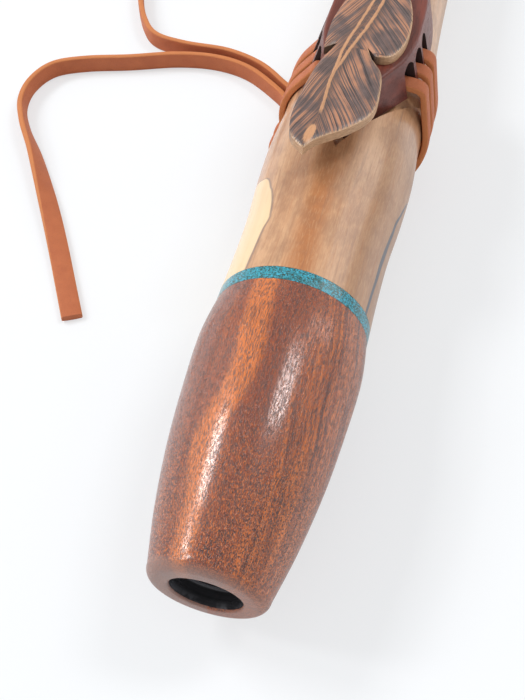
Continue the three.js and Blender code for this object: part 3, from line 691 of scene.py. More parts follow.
def bend(start, corner, end, count):
    """Points on the quadratic curve from start to end that the corner pulls."""
    a, b, c = Vector(start), Vector(corner), Vector(end)
    return [a * (1 - t) ** 2 + b * 2 * t * (1 - t) + c * t**2 for t in evenly(0, 1, count)]


def arc(centre, radius, start, stop, count):
    """Points of (radius, station) on a circle, with angles in degrees."""
    angles = [math.radians(degrees) for degrees in evenly(start, stop, count)]
    return [Vector((centre[0] + radius * math.cos(a), centre[1] + radius * math.sin(a))) for a in angles]


def turned(profile, steps, closed=True):
    """A mesh spun about the station axis from points of (radius, station)."""
    bm = bmesh.new()
    corners = [bm.verts.new((p[0], p[1], 0)) for p in profile]
    ring = zip(corners, corners[1:] + corners[:1]) if closed else zip(corners, corners[1:])
    edges = [bm.edges.new(pair) for pair in ring]
    bmesh.ops.spin(
        bm, geom=corners + edges, cent=(0, 0, 0), axis=(0, 1, 0), angle=2 * math.pi, steps=steps,
        use_merge=True,
    )
    bmesh.ops.remove_doubles(bm, verts=bm.verts, dist=WELD)
    bmesh.ops.recalc_face_normals(bm, faces=bm.faces)
    return bm


def only(kind, geometry):
    """The vertices, edges or faces among the parts of a mesh."""
    return [part for part in geometry if isinstance(part, kind)]


def raised(outline, low, high):
    """An outline of (x, station) raised from one height to another."""
    bm = bmesh.new()
    face = bm.faces.new([bm.verts.new((p[0], p[1], low)) for p in outline])
    top = only(bmesh.types.BMVert, bmesh.ops.extrude_face_region(bm, geom=[face])["geom"])
    bmesh.ops.translate(bm, verts=top, vec=(0, 0, high - low))
    bmesh.ops.recalc_face_normals(bm, faces=bm.faces)
    return bm


def crosswise(outline, width):
    """An outline of (station, height) drawn out to both sides of the flute."""
    bm = raised(outline, -width / 2, width / 2)
    turn = Matrix(((0, 0, 1), (1, 0, 0), (0, 1, 0))).to_4x4()
    bmesh.ops.transform(bm, matrix=turn, verts=bm.verts)
    return bm


def as_object(bm, name):
    """Puts the mesh in the scene under a name, and uses the bmesh up."""
    mesh = bpy.data.meshes.new(name)
    bm.to_mesh(mesh)
    bm.free()
    made = bpy.data.objects.new(name, mesh)
    bpy.context.scene.collection.objects.link(made)
    return made


def carve(piece, cutters, operation="DIFFERENCE"):
    """Cuts the pieces made from bmeshes out of the piece, or keeps what they share."""
    tools = [as_object(bm, "cutter") for bm in cutters]
    for tool in tools:
        cut = piece.modifiers.new("cut", "BOOLEAN")
        cut.operation = operation
        cut.solver = "EXACT"
        cut.object = tool
    graph = bpy.context.evaluated_depsgraph_get()
    mesh = bpy.data.meshes.new_from_object(piece.evaluated_get(graph))
    piece.modifiers.clear()
    piece.data = mesh
    for tool in tools:
        bpy.data.objects.remove(tool)


def shared(make):
    """A material that is made once and then found again."""
    return bpy.data.materials.get(make.__name__) or make(bpy.context.scene.flute_colours)


def paint(piece, first, second, where):
    """Gives the piece two materials, with the second on the faces where the test holds."""
    for make in (first, second):
        piece.data.materials.append(shared(make))
    for face in piece.data.polygons:
        face.material_index = 1 if where(face) else 0


def dress(piece, body, node, place=ON_FLUTE, sharp=SHARP_DEGREES):
    """Gives a finished piece its place, its body and the node that it stands for."""
    piece.data.transform(place)
    piece.data.shade_smooth()
    piece.data.set_sharp_from_angle(angle=math.radians(sharp))
    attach(piece, body)
    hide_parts(node)


def length_property(label, use, value):
    """A size in metres that a user may change, from a tenth of its default to twice as much."""
    return FloatProperty(
        name=label, description=use, default=value, min=value / 10, max=2 * value, unit="LENGTH"
    )


class FluteSizes(bpy.types.PropertyGroup):
    """The small sizes of the dressed pieces, and the fineness of the turned ones."""

    round_steps: IntProperty(
        name="Steps round", description="Steps of a turned shape round the flute", default=144, min=24
    )
    band_crown: length_property("Band crown", "How far the stone band swells at its middle", 0.06 * MM)
    hole_flare: length_property("Hole flare", "Eased edge at the mouth of a finger hole", 0.8 * MM)
    block_ease: length_property("Block edges", "Rounding of the block's edges", 0.7 * MM)
    roll_width: length_property("Feather roll, width", "Width of the feather's rolled rim", 1.5 * MM)
    roll_depth: length_property("Feather roll, depth", "How far the feather's rim rolls down", 0.5 * MM)
    ridge_height: length_property("Rachis", "How far the rachis stands up from the feather", 0.3 * MM)
    lace_corner: length_property("Lace corners", "Rounding of the lace's edges", 0.4 * MM)
    lace_crown: length_property("Lace crown", "How far the lace's faces swell", 0.12 * MM)


class FluteColours(bpy.types.PropertyGroup):
    """The colours of each wood, the stone and the leather, and of the shade and shadow painted on the body
    and in the block's tunnels.
    """


# Each colour's label, its use, and its red, green and blue as they look on a screen.
COLOURS = {
    "red_wood": ("Red wood", "Ground colour of the mouthpiece", (156, 74, 36)),
    "red_wood_warm": ("Red wood, warm", "Orange ribbons in it", (218, 118, 48)),
    "red_wood_dull": ("Red wood, dull", "Purple-brown shade in it", (112, 50, 34)),
    "red_wood_pores": ("Red wood, pores", "Its pores and dark lines", (56, 20, 14)),
    "red_wood_rim": ("Red wood, rim", "Sanded end grain round the mouth hole", (150, 116, 104)),
    "bore": ("Bore", "Sealed inside of the mouth hole", (34, 34, 36)),
    "bore_worn": ("Bore, worn", "Lighter rings left by the drill", (120, 120, 126)),
    "stone_green": ("Stone, green", "Green grains of the band", (26, 104, 108)),
    "stone_blue": ("Stone, blue", "Blue-green grains of the band", (42, 150, 168)),
    "stone_bright": ("Stone, bright", "Bright blue chips of the band", (70, 182, 212)),
    "stone_matrix": ("Stone, matrix", "Dark flecks of the band", (48, 66, 58)),
    "figured_wood": ("Pale wood", "Light ground of the body", (212, 167, 128)),
    "figured_wood_dull": ("Pale wood, dull", "Darker ground of the body", (186, 138, 100)),
    # Painted shade for the body's right side.
    "figured_wood_shade": ("Pale wood, right side", "Greyer ground on its right", (166, 124, 92)),
    "heartwood": ("Heartwood", "Orange-brown heart of the body", (174, 106, 54)),
    "cloud": ("Clouded wood", "Dull brown clouds of the body", (142, 100, 74)),
    # Also used for a painted shadow under the feather's tip.
    "sapwood": ("Sapwood", "Cream patch on the body's left", (234, 200, 156)),
    "mineral": ("Mineral streak", "Grey-blue lines of the body", (74, 80, 90)),
    "purple_wood": ("Purple wood", "Ground colour of the block", (88, 33, 21)),
    "purple_wood_light": ("Purple wood, light", "Lighter figure of the block", (122, 58, 44)),
    "purple_wood_pores": ("Purple wood, pores", "Pores of the block", (56, 28, 26)),
    # Near-black painted shade for the insides of the lace tunnels.
    "charred": ("Charred slot", "Scorched inside of the lace tunnels", (22, 16, 15)),
    "burn": ("Burn", "Burned barbs of the feather", (72, 60, 58)),
    "burn_dark": ("Burn, dark", "Deep strokes of the burning tool", (36, 30, 31)),
    "burn_light": ("Burn, light", "Lightly burned wood", (120, 100, 96)),
    "feather_wood": ("Feather wood", "Bare wood between the barbs", (190, 132, 98)),
    "feather_wood_dull": ("Feather wood, dull", "Its lightly burned parts", (144, 102, 84)),
    "rachis": ("Rachis", "Pale lines of the rachis", (204, 150, 108)),
    "feather_edge": ("Feather edge", "Cut sides of the feather", (202, 162, 124)),
    "feather_edge_dull": ("Feather edge, dull", "Its darker fibres", (168, 128, 94)),
    "leather": ("Leather", "Dyed face of the lace", (202, 120, 78)),
    "leather_dull": ("Leather, dull", "Its darker tone", (176, 98, 66)),
    "leather_pits": ("Leather, pits", "Dark pits of its grain", (116, 60, 34)),
    "leather_edge": ("Leather edge", "Pale cut edges of the lace", (214, 142, 88)),
}
FluteColours.__annotations__ = {
    key: FloatVectorProperty(
        name=label, description=use, subtype="COLOR", size=3, min=0, max=1, default=tint(*colour)
    )
    for key, (label, use, colour) in COLOURS.items()
}


class FluteStudio(bpy.types.PropertyGroup):
    """The strength of the lights."""

    left_light: FloatProperty(
        name="Left light", description="Strength of the soft light on the left",
        default=21, min=0, unit="POWER",
    )
    right_light: FloatProperty(
        name="Right light", description="Strength of the soft light behind on the right",
        default=10, min=0, unit="POWER",
    )
    room_light: FloatProperty(
        name="Room light", description="Strength of the even light from all round", default=0.59, min=0
    )


class FLUTE_OT_stage(bpy.types.Operator):
    """Sets the camera, the floor and the soft studio light"""

    bl_idname = "flute.stage"
    bl_label = "Camera, floor and light"

    def execute(self, context):
        studio = context.scene.flute_studio
        self.add_camera(context)
        self.add_floor()
        strengths = {"left": studio.left_light, "right": studio.right_light}
        for name, side, share, direction, size in LIGHTS:
            self.add_light(name, strengths[side] * share, Vector(direction).normalized(), size)
        self.add_room(context, studio.room_light)
        context.scene.view_settings.view_transform = "Standard"
        return {"FINISHED"}

    def add_camera(self, context):
        camera = bpy.data.objects.new("camera", bpy.data.cameras.new("camera"))
        camera.data.sensor_width = CAMERA_SENSOR
        camera.data.lens = CAMERA_LENS
        camera.data.clip_start = CAMERA_NEAREST
        turn = Matrix((CAMERA_RIGHT, -CAMERA_DOWN, -CAMERA_AHEAD)).transposed()
        camera.matrix_world = Matrix.Translation(CAMERA_PLACE) @ turn.to_4x4()
        context.scene.collection.objects.link(camera)
        context.scene.camera = camera

    def add_floor(self):
        bm = bmesh.new()
        bmesh.ops.create_grid(bm, x_segments=1, y_segments=1, size=FLOOR_REACH)
        floor = as_object(bm, "floor")
        floor.data.materials.append(plain_floor())

    def add_light(self, name, power, away, size):
        lamp = bpy.data.lights.new(name, "AREA")
        lamp.shape = "RECTANGLE"
        lamp.size, lamp.size_y = size
        lamp.energy = power
        light = bpy.data.objects.new(name, lamp)
        across = Vector((0, 1, 0)).cross(away).normalized()
        turn = Matrix((across, away.cross(across), away)).transposed().to_4x4()
        light.matrix_world = Matrix.Translation(LIGHT_AIM + away * LIGHT_DISTANCE) @ turn
        bpy.context.scene.collection.objects.link(light)

    def add_room(self, context, strength):
        """Even light from all round, which the camera sees as plain white."""
        world = bpy.data.worlds.new("room")
        context.scene.world = world
        world.use_nodes = True
        tree = world.node_tree
        rays = tree.nodes.new("ShaderNodeLightPath")
        room = tree.nodes["Background"]
        room.inputs["Strength"].default_value = strength
        seen = tree.nodes.new("ShaderNodeBackground")
        either = tree.nodes.new("ShaderNodeMixShader")
        tree.links.new(rays.outputs["Is Camera Ray"], either.inputs[0])
        tree.links.new(room.outputs[0], either.inputs[1])
        tree.links.new(seen.outputs[0], either.inputs[2])
        tree.links.new(either.outputs[0], tree.nodes["World Output"].inputs[0])
        for background in (room, seen):
            background.inputs["Color"].default_value = (1, 1, 1, 1)


class FLUTE_OT_mouthpiece(bpy.types.Operator):
    """Turns the mouthpiece with its mouth hole, windway and tenon"""

    bl_idname = "flute.mouthpiece"
    bl_label = "Mouthpiece"

    def execute(self, context):
        piece = as_object(turned(self.profile(), context.scene.flute_sizes.round_steps), "mouthpiece_turned")

        def in_mouth_hole(face):
            corners = (piece.data.vertices[index].co for index in face.vertices)
            return max(math.hypot(corner.x, corner.z) for corner in corners) < BLOW_RADIUS + WELD

        paint(piece, oiled_red_wood, black_bore, in_mouth_hole)
        dress(piece, "flute", "mouthpiece")
        return {"FINISHED"}

    def profile(self):
        rise = BELLY_RADIUS - MOUTH_RADIUS
        knots = [
            (MOUTH_RADIUS, RIM_ROUND),
            *((MOUTH_RADIUS + out * rise, along * MOUTHPIECE_LENGTH) for along, out in MOUTHPIECE_CURVE),
            (RING_RADIUS, MOUTHPIECE_LENGTH),
        ]
        tenon_radius = BORE_RADIUS - FIT_GAP
        tenon_end = BODY_START + TENON_LENGTH
        return [
            *arc((BLOW_RADIUS + LIP_ROUND, LIP_ROUND), LIP_ROUND, 180, 270, LIP_ROUND_STEPS),
            *arc((MOUTH_RADIUS - RIM_ROUND, RIM_ROUND), RIM_ROUND, -90, 0, RIM_ROUND_STEPS),
            *through(knots, MOUTHPIECE_STEPS)[1:],
            (tenon_radius, MOUTHPIECE_LENGTH),
            (tenon_radius, tenon_end),
            (WINDWAY_RADIUS, tenon_end),
            (WINDWAY_RADIUS, BLOW_DEPTH),
            (BLOW_RADIUS, BLOW_DEPTH),
        ]


class FLUTE_OT_band(bpy.types.Operator):
    """Turns the band of crushed stone"""

    bl_idname = "flute.band"
    bl_label = "Stone band"

    def execute(self, context):
        sizes = context.scene.flute_sizes
        start = MOUTHPIECE_LENGTH + GLUE_GAP
        end = start + RING_WIDTH
        crown = (RING_RADIUS + sizes.band_crown, (start + end) / 2)
        outside = bend((RING_RADIUS, start), crown, (RING_RADIUS, end), BAND_STEPS)
        profile = [(BORE_RADIUS, start), *outside, (BORE_RADIUS, end)]
        piece = as_object(turned(profile, sizes.round_steps), "stone_band")
        piece.data.materials.append(shared(crushed_stone))
        dress(piece, "flute", "turquoise_band")
        return {"FINISHED"}


class FLUTE_OT_body(bpy.types.Operator):
    """Makes the body with its nest, airway and holes, as two halves glued along the bore"""

    bl_idname = "flute.body"
    bl_label = "Body halves"

    def execute(self, context):
        sizes = context.scene.flute_sizes
        whole = as_object(turned(self.profile(), sizes.round_steps, closed=False), "whole_body")
        holes = [self.hole(radius, station, 0, sizes.hole_flare) for station, radius in FINGER_HOLES]
        for lean in (TUNING_HOLE_DEGREES, -TUNING_HOLE_DEGREES):
            holes.append(self.hole(TUNING_HOLE_RADIUS, TUNING_HOLE_STATION, lean, sizes.hole_flare))
        carve(whole, [*self.nest(sizes.round_steps), *self.airway(), *holes])
        self.add_half(whole, 1, "body_upper", "body_upper_half")
        self.add_half(whole, -1, "body_lower", "body_lower_half")
        bpy.data.objects.remove(whole)
        return {"FINISHED"}

    def add_half(self, whole, side, name, node):
        """Keeps what lies above the glue line, or below it."""
        bm = bmesh.new()
        bm.from_mesh(whole.data)
        cut = bmesh.ops.bisect_plane(
            bm, geom=bm.verts[:] + bm.edges[:] + bm.faces[:], dist=WELD / 10,
            plane_co=(0, 0, side * GLUE_GAP / 2), plane_no=(0, 0, side), clear_inner=True,
        )
        rim = only(bmesh.types.BMEdge, cut["geom_cut"])
        bmesh.ops.triangle_fill(bm, edges=rim, use_beauty=True, normal=(0, 0, -side))
        half = as_object(bm, name)
        half.data.materials.append(shared(oiled_pale_wood))
        dress(half, "flute", node, sharp=BODY_SHARP_DEGREES)

    def profile(self):
        run = SEAT_START - BODY_START
        rise = SWELL_RADIUS - WAIST_RADIUS
        knots = [
            (RING_RADIUS, BODY_START),
            *((WAIST_RADIUS + out * rise, BODY_START + along * run) for along, out in SWELL_CURVE),
            (SEAT_RADIUS, SEAT_START),
        ]
        seat = [(SEAT_RADIUS, station) for station in evenly(SEAT_START, SEAT_END, SEAT_STEPS)[1:-1]]
        elbow = (ELBOW_RADIUS, ELBOW_STATION)
        taper = bend((SEAT_RADIUS, SEAT_END), elbow, (BARREL_RADIUS, BARREL_START), TAPER_STEPS)
        count = int((FLUTE_LENGTH - FOOT_ROUND - BARREL_START) / BARREL_STEP)
        barrel = [(BARREL_RADIUS, BARREL_START + BARREL_STEP * i) for i in range(1, count)]
        foot_centre = (BARREL_RADIUS - FOOT_ROUND, FLUTE_LENGTH - FOOT_ROUND)
        foot = arc(foot_centre, FOOT_ROUND, 0, 90, FOOT_STEPS)
        bore = [(BORE_RADIUS, station) for station in evenly(FLUTE_LENGTH, SOUND_BORE_START, BORE_STEPS)]
        return [
            (0, AIR_CHAMBER_END), (BORE_RADIUS, AIR_CHAMBER_END), (BORE_RADIUS, BODY_START),
            *through(knots, SWELL_STEPS), *seat, *taper, *barrel, *foot, *bore, (0, SOUND_BORE_START),
        ]

    def nest(self, steps):
        """What is cut away for the block: its flat, the ramp behind it and the cheeks beside it."""
        apex = BLOCK_START - NEST_LEAD
        back = BLOCK_END + SOUND_HOLE_LENGTH + NEST_RUN_OUT
        above = SWELL_RADIUS + OVERRUN
        ramp_end = back + NEST_RAMP

        def plan(reach):
            wing = apex + reach / NEST_SPREAD
            return [(0, apex), (reach, wing), (reach, back), (-reach, back), (-reach, wing)]

        ramp = [
            (BLOCK_END, NEST_HEIGHT), (back, NEST_HEIGHT), (ramp_end, SEAT_RADIUS), (ramp_end, above),
            (BLOCK_END, above),
        ]
        inner = SEAT_RADIUS - CHEEK_DEPTH
        inside = [(inner, station) for station in evenly(apex, back + OVERRUN, CHEEK_STEPS)]
        cheeks = as_object(raised(plan(CHEEK_REACH), 0, NEST_HEIGHT), "cheeks")
        carve(cheeks, [turned([(0, apex), *inside, (0, back + OVERRUN)], steps, closed=False)])
        beside = bmesh.new()
        beside.from_mesh(cheeks.data)
        bpy.data.objects.remove(cheeks)
        flat = raised(plan(SEAT_RADIUS), NEST_HEIGHT, above)
        return [flat, crosswise(ramp, 2 * SEAT_RADIUS + OVERRUN), beside]

    def airway(self):
        """The flue, the slot that feeds it, and the sound hole with its splitting edge."""
        floor = NEST_HEIGHT - FLUE_DEPTH
        above = NEST_HEIGHT + OVERRUN
        start, end = AIR_EXIT
        hole_end = BLOCK_END + SOUND_HOLE_LENGTH
        flue = [(start, floor), (BLOCK_END, floor), (BLOCK_END, above), (start, above)]
        way_out = [(start, 0), (end, 0), (end, above), (start, above)]
        voice = [
            (BLOCK_END, 0), (hole_end + EDGE_UNDERCUT, 0), (hole_end + EDGE_UNDERCUT, BORE_RADIUS),
            (hole_end, NEST_HEIGHT - FLUE_DEPTH / 2), (hole_end + EDGE_BEVEL, NEST_HEIGHT),
            (hole_end + EDGE_BEVEL, above), (BLOCK_END, above),
        ]
        return [crosswise(outline, FLUE_WIDTH) for outline in (flue, way_out, voice)]

    def hole(self, radius, station, degrees, flare):
        """A drill with an eased mouth, standing out from the bore at an angle from the top."""
        ease_start = (radius, BARREL_RADIUS - 2 * flare)
        ease_corner = (radius, BARREL_RADIUS - EASE_CORNER_SHARE * flare)
        ease_end = (radius + 2 * flare, BARREL_RADIUS + flare)
        mouth = bend(ease_start, ease_corner, ease_end, HOLE_MOUTH_STEPS)
        bm = turned([(0, 0), (radius, 0), *mouth, (0, BARREL_RADIUS + flare)], HOLE_SIDES, closed=False)
        stand = Matrix.Rotation(math.radians(90), 4, "X")
        lean = Matrix.Rotation(math.radians(degrees), 4, "Y")
        bmesh.ops.transform(bm, matrix=Matrix.Translation((0, station, 0)) @ lean @ stand, verts=bm.verts)
        return bm


class FLUTE_OT_block(bpy.types.Operator):
    """Makes the block with its prow, leaning sides and lace tunnels"""

    bl_idname = "flute.block"
    bl_label = "Block"

    def execute(self, context):
        bm = raised(self.outline(), BLOCK_BOTTOM, BLOCK_TOP)
        for vert in bm.verts:
            rise = vert.co.z - BLOCK_BOTTOM
            vert.co.x *= 1 - DRAFT_SHARE * rise / (BLOCK_WIDTH / 2)
        corners = [e for e in bm.edges if e.calc_face_angle(0) > math.radians(BLOCK_CORNER_DEGREES)]
        bmesh.ops.bevel(
            bm, geom=corners, offset=context.scene.flute_sizes.block_ease, segments=BLOCK_EASE_STEPS,
            profile=0.5, affect="EDGES", material=-1, clamp_overlap=True,
        )
        bmesh.ops.recalc_face_normals(bm, faces=bm.faces)
        piece = as_object(bm, "block_carved")
        carve(piece, [cutter for index in range(TUNNEL_COUNT) for cutter in self.tunnel(index)])
        # The insides of the tunnels get a near-black painted shade.
        paint(piece, satin_purple_wood, tunnel_painted_shade, self.in_tunnel)
        piece.data.transform(Matrix.Translation((BLOCK_SIDE, 0, 0)))
        dress(piece, "block_assembly", "block")
        return {"FINISHED"}

    def in_tunnel(self, face):
        """True for a wall, floor or roof inside one of the tunnels."""
        along = face.center.y - TUNNEL_FIRST + TUNNEL_WIDTH / 2 + WELD
        index = int(along // TUNNEL_PITCH)
        beside = index in range(TUNNEL_COUNT) and along - index * TUNNEL_PITCH < TUNNEL_WIDTH + 2 * WELD
        within = BLOCK_BOTTOM + WELD < face.center.z < TUNNEL_FLOOR + TUNNEL_HEIGHT + TUNNEL_CROWN
        return beside and within and abs(face.normal.x) < TUNNEL_FACE_LEAN

    def outline(self):
        half, prow, tail = BLOCK_WIDTH / 2, PROW_WIDTH / 2, TAIL_WIDTH / 2
        prow_end = BLOCK_START + PROW_LENGTH
        shoulder_end = prow_end + SHOULDER_LENGTH
        tail_start = BLOCK_END - TAIL_LENGTH
        shoulder_corner = (half, prow_end + SHOULDER_LENGTH / 2)
        tail_corner = (half, tail_start + TAIL_LENGTH / 2)
        shoulder = bend((prow, prow_end), shoulder_corner, (half, shoulder_end), SHOULDER_STEPS)
        taper = bend((half, tail_start), tail_corner, (tail, BLOCK_END), TAIL_STEPS)
        right = [(0, BLOCK_START), *shoulder, *taper]
        return right + [(-p[0], p[1]) for p in reversed(right[1:])]

    def tunnel(self, index):
        """An arched hole through the block, and the two slots by which the lace leaves it."""
        middle = TUNNEL_FIRST + index * TUNNEL_PITCH
        left = middle - TUNNEL_WIDTH / 2
        right = left + TUNNEL_WIDTH
        high = TUNNEL_FLOOR + TUNNEL_HEIGHT
        spring = high - TUNNEL_WIDTH / 3
        crown = bend((right, spring), (middle, high + TUNNEL_CROWN), (left, spring), TUNNEL_STEPS)
        cutters = [crosswise([(left, TUNNEL_FLOOR), (right, TUNNEL_FLOOR), *crown], BLOCK_WIDTH + OVERRUN)]
        below, top = BLOCK_BOTTOM - OVERRUN, TUNNEL_FLOOR + FIT_GAP
        for side in (1, -1):
            slot = crosswise([(left, below), (right, below), (right, top), (left, top)], OVERRUN)
            bmesh.ops.translate(slot, verts=slot.verts, vec=(side * (LIP_WIDTH + OVERRUN) / 2, 0, 0))
            cutters.append(slot)
        return cutters


class FLUTE_OT_feather(bpy.types.Operator):
    """Carves the feather with its lobes, notches and rachis"""

    bl_idname = "flute.feather"
    bl_label = "Feather"

    def execute(self, context):
        bottom = BLOCK_TOP + GLUE_GAP
        top = bottom + FEATHER_THICKNESS
        outline = self.outline()
        piece = as_object(self.blank(bottom), "feather_carved")
        carve(piece, [raised(outline, bottom - OVERRUN, top + OVERRUN)], "INTERSECT")
        self.shape(piece.data, outline, top, context.scene.flute_sizes)
        paint(piece, burnt_feather, feather_edge, lambda face: face.normal.z <= FACE_STEEPEST)
        turn = Matrix.Rotation(math.radians(FEATHER_TURN), 4, "Z")
        place = ON_FLUTE @ Matrix.Translation((*FEATHER_TIP, 0)) @ turn
        dress(piece, "block_assembly", "feather", place, FEATHER_SHARP_DEGREES)
        return {"FINISHED"}

    def blank(self, bottom):
        """A finely divided board, larger than the feather."""
        bm = bmesh.new()
        bmesh.ops.create_grid(bm, x_segments=BLANK_COLUMNS, y_segments=BLANK_ROWS, size=0.5)
        size = (BLANK_WIDTH_SHARE * FEATHER_WIDTH, BLANK_LENGTH_SHARE * FEATHER_LENGTH, 1)
        bmesh.ops.scale(bm, vec=size, verts=bm.verts)
        middle = (BLANK_SIDE_SHARE * FEATHER_WIDTH, 0.5 * FEATHER_LENGTH, bottom)
        bmesh.ops.translate(bm, vec=middle, verts=bm.verts)
        top = only(bmesh.types.BMVert, bmesh.ops.extrude_face_region(bm, geom=bm.faces[:])["geom"])
        bmesh.ops.translate(bm, verts=top, vec=(0, 0, FEATHER_THICKNESS))
        bmesh.ops.recalc_face_normals(bm, faces=bm.faces)
        return bm

    def corner(self, share):
        """A point of the outline from its shares along and across."""
        return (share[1] * FEATHER_WIDTH, share[0] * FEATHER_LENGTH)

    def outline(self):
        def edge(shares):
            return [tuple(p) for p in through([self.corner(share) for share in shares], OUTLINE_STEPS)]

        return [
            *edge(RIGHT_LOBE_SHARES), self.corner(RIGHT_NOTCH_SHARE), *edge(RIGHT_VANE_SHARES),
            *(self.corner(share) for share in QUILL_SHARES),
            *edge(LEFT_VANE_SHARES), self.corner(LEFT_NOTCH_SHARE), *edge(LEFT_LOBE_SHARES)[:-1],
        ]

    def rim(self, outline):
        """A search tree of points round the rim, and how bare the wood is at each, from 0 to 1."""
        notches = [Vector(self.corner(share)) for share in (RIGHT_NOTCH_SHARE, LEFT_NOTCH_SHARE)]
        points = []
        bareness = []
        for first, second in zip(outline, outline[1:] + outline[:1]):
            a, b = Vector(first), Vector(second)
            count = max(1, int((b - a).length / RIM_SPACING))
            points += [a.lerp(b, i / count) for i in range(count)]
            outward = Vector((b.y - a.y, a.x - b.x)).normalized()
            facing = outward.dot(BARE_SIDE) / BARE_FADE + 0.5
            clear = min((a - notch).length for notch in notches) / NOTCH_BURN - 1
            bareness += [min(1, max(0, min(facing, 2 * clear)))] * count
        tree = kdtree.KDTree(len(points))
        for index, p in enumerate(points):
            tree.insert((p.x, p.y, 0), index)
        tree.balance()
        return tree, bareness

    def rachis(self, along):
        """Where the rachis runs at a share of the length: across, and half its width."""
        for (a0, c0, w0), (a1, c1, w1) in zip(RACHIS, RACHIS[1:]):
            if along <= a1:
                t = max(0, (along - a0) / (a1 - a0))
                t = (eased(t) + t) / 2
                return (c0 + (c1 - c0) * t) * FEATHER_WIDTH, w0 + (w1 - w0) * t
        return 0, RACHIS[-1][2]

    def ridge(self, distance, half, y, height):
        """How far the rachis stands up at a distance from its middle, less the groove along it."""
        if y <= RIDGE_START:
            return 0
        near = max(0, 1 - max(0, distance - half) / RIDGE_FLANK)
        rise = height * eased(near) * min(1, (y - RIDGE_START) / RIDGE_RUN_IN)
        if half > GROOVE_FROM:
            rise -= GROOVE_DEPTH * max(0, 1 - distance / (GROOVE_SHARE * half))
        return rise

    def shape(self, mesh, outline, top, sizes):
        """Rolls the rim down, raises the rachis, and stores what the burned barbs follow."""
        tree, bareness = self.rim(outline)
        stored = {name: [] for name in ("aside", "split", "root", "along", "rim", "open")}
        for vert in mesh.vertices:
            x, y = vert.co.x, vert.co.y
            centre, half = self.rachis(y / FEATHER_LENGTH)
            aside = x - centre
            _, nearest, rim = tree.find((x, y, 0))
            if vert.co.z > top - WELD:
                edge = min(1, rim / sizes.roll_width)
                rise = self.ridge(abs(aside), half, y, sizes.ridge_height)
                vert.co.z += rise * edge - sizes.roll_depth * (1 - edge) ** 2 - FACE_DROP
            if aside <= 0:
                slope = LEFT_BARB_SLOPE
            elif y > VANE_SHARE * FEATHER_LENGTH:
                slope = RIGHT_VANE_BARB_SLOPE
            else:
                slope = RIGHT_LOBE_BARB_SLOPE
            stored["aside"].append(aside / MM)
            stored["split"].append(half / MM)
            stored["root"].append((y + slope * abs(aside)) / MM)
            stored["along"].append(y / MM)
            stored["rim"].append(rim / MM)
            stored["open"].append(bareness[nearest])
        for name, values in stored.items():
            layer = mesh.attributes.new(name, "FLOAT", "POINT")
            layer.data.foreach_set("value", values)


def lace_section(width, sizes):
    """The lace's section: a flat strap with rounded corners and slightly crowned faces."""
    half, thick, corner = width / 2, LACE_THICKNESS / 2, sizes.lace_corner
    section = []
    for sx, sz, start in ((1, 1, 0), (-1, 1, 90), (-1, -1, 180), (1, -1, 270)):
        centre = (sx * (half - corner), sz * (thick - corner))
        section += [tuple(p) for p in arc(centre, corner, start, start + 90, LACE_CORNER_STEPS)]
        if sx == sz:
            for share in (0.5, 0, -0.5):
                swell = sizes.lace_crown * (1 - share * share)
                section.append((sx * half * share, sz * (thick + swell)))
    return section


def add_lace(context, name, node, stations, width, place=ON_FLUTE):
    """A strap of lace: its section at each station's middle, along its two directions."""
    bm = bmesh.new()
    across = bm.verts.layers.float.new("across")
    section = lace_section(width, context.scene.flute_sizes)
    rings = []
    for middle, over, out in stations:
        ring = []
        for a, b in section:
            vert = bm.verts.new(middle + over * a + out * b)
            vert[across] = a / (width / 2)
            ring.append(vert)
        rings.append([bm.edges.new(pair) for pair in zip(ring, ring[1:] + ring[:1])])
    for first, second in zip(rings, rings[1:]):
        bmesh.ops.bridge_loops(bm, edges=first + second)
    for end in (rings[0], rings[-1]):
        bmesh.ops.edgeloop_fill(bm, edges=end)
    bmesh.ops.recalc_face_normals(bm, faces=bm.faces)
    piece = as_object(bm, name)
    piece.data.materials.append(shared(tan_leather))
    dress(piece, "block_assembly", node, place)
    return piece


def station_at(angle, radius, x, y, z):
    """Where the lace lies at an angle from the top on a circle round (x, z)."""
    out = Vector((math.sin(angle), 0, math.cos(angle)))
    return Vector((x, y, z)) + out * radius, Vector((0, 1, 0)), out


# The lace bends over the lip of a tunnel. On the left it then runs straight down to the body. On the
# right it stands off in a bow, which bends round a place of its own before it meets the body.
LACE_LINE_RADIUS = SEAT_RADIUS + FIT_GAP + LACE_THICKNESS / 2
LIP_BEND = FIT_GAP + LACE_THICKNESS / 2
LEFT_LIP = LIP_WIDTH / 2 - BLOCK_SIDE
RIGHT_LIP = LIP_WIDTH / 2 + BLOCK_SIDE
LEFT_TOUCH = math.atan2(LEFT_LIP, TUNNEL_FLOOR) + math.acos(
    (LACE_LINE_RADIUS - LIP_BEND) / math.hypot(LEFT_LIP, TUNNEL_FLOOR)
)
BOW_REACH = LACE_LINE_RADIUS - BOW_BEND + BOW_STAND
BOW_X = BOW_REACH * math.sin(BOW_ANGLE)
BOW_Z = BOW_REACH * math.cos(BOW_ANGLE)
RIGHT_TOUCH = BOW_ANGLE + math.acos((LACE_LINE_RADIUS - BOW_BEND) / BOW_REACH)
BOW_START = math.atan2(BOW_X - RIGHT_LIP, BOW_Z - TUNNEL_FLOOR) - math.acos(
    (LIP_BEND - BOW_BEND) / math.hypot(BOW_X - RIGHT_LIP, BOW_Z - TUNNEL_FLOOR)
)


def under_station(turn, step):
    """The lace on its way round under the body, from the right touch to the left one."""
    share = step / UNDER_STEPS
    angle = RIGHT_TOUCH + share * (2 * math.pi - RIGHT_TOUCH - LEFT_TOUCH)
    y = TUNNEL_FIRST + turn * TUNNEL_PITCH - TUNNEL_PITCH * share
    return station_at(angle, LACE_LINE_RADIUS, 0, y, 0)


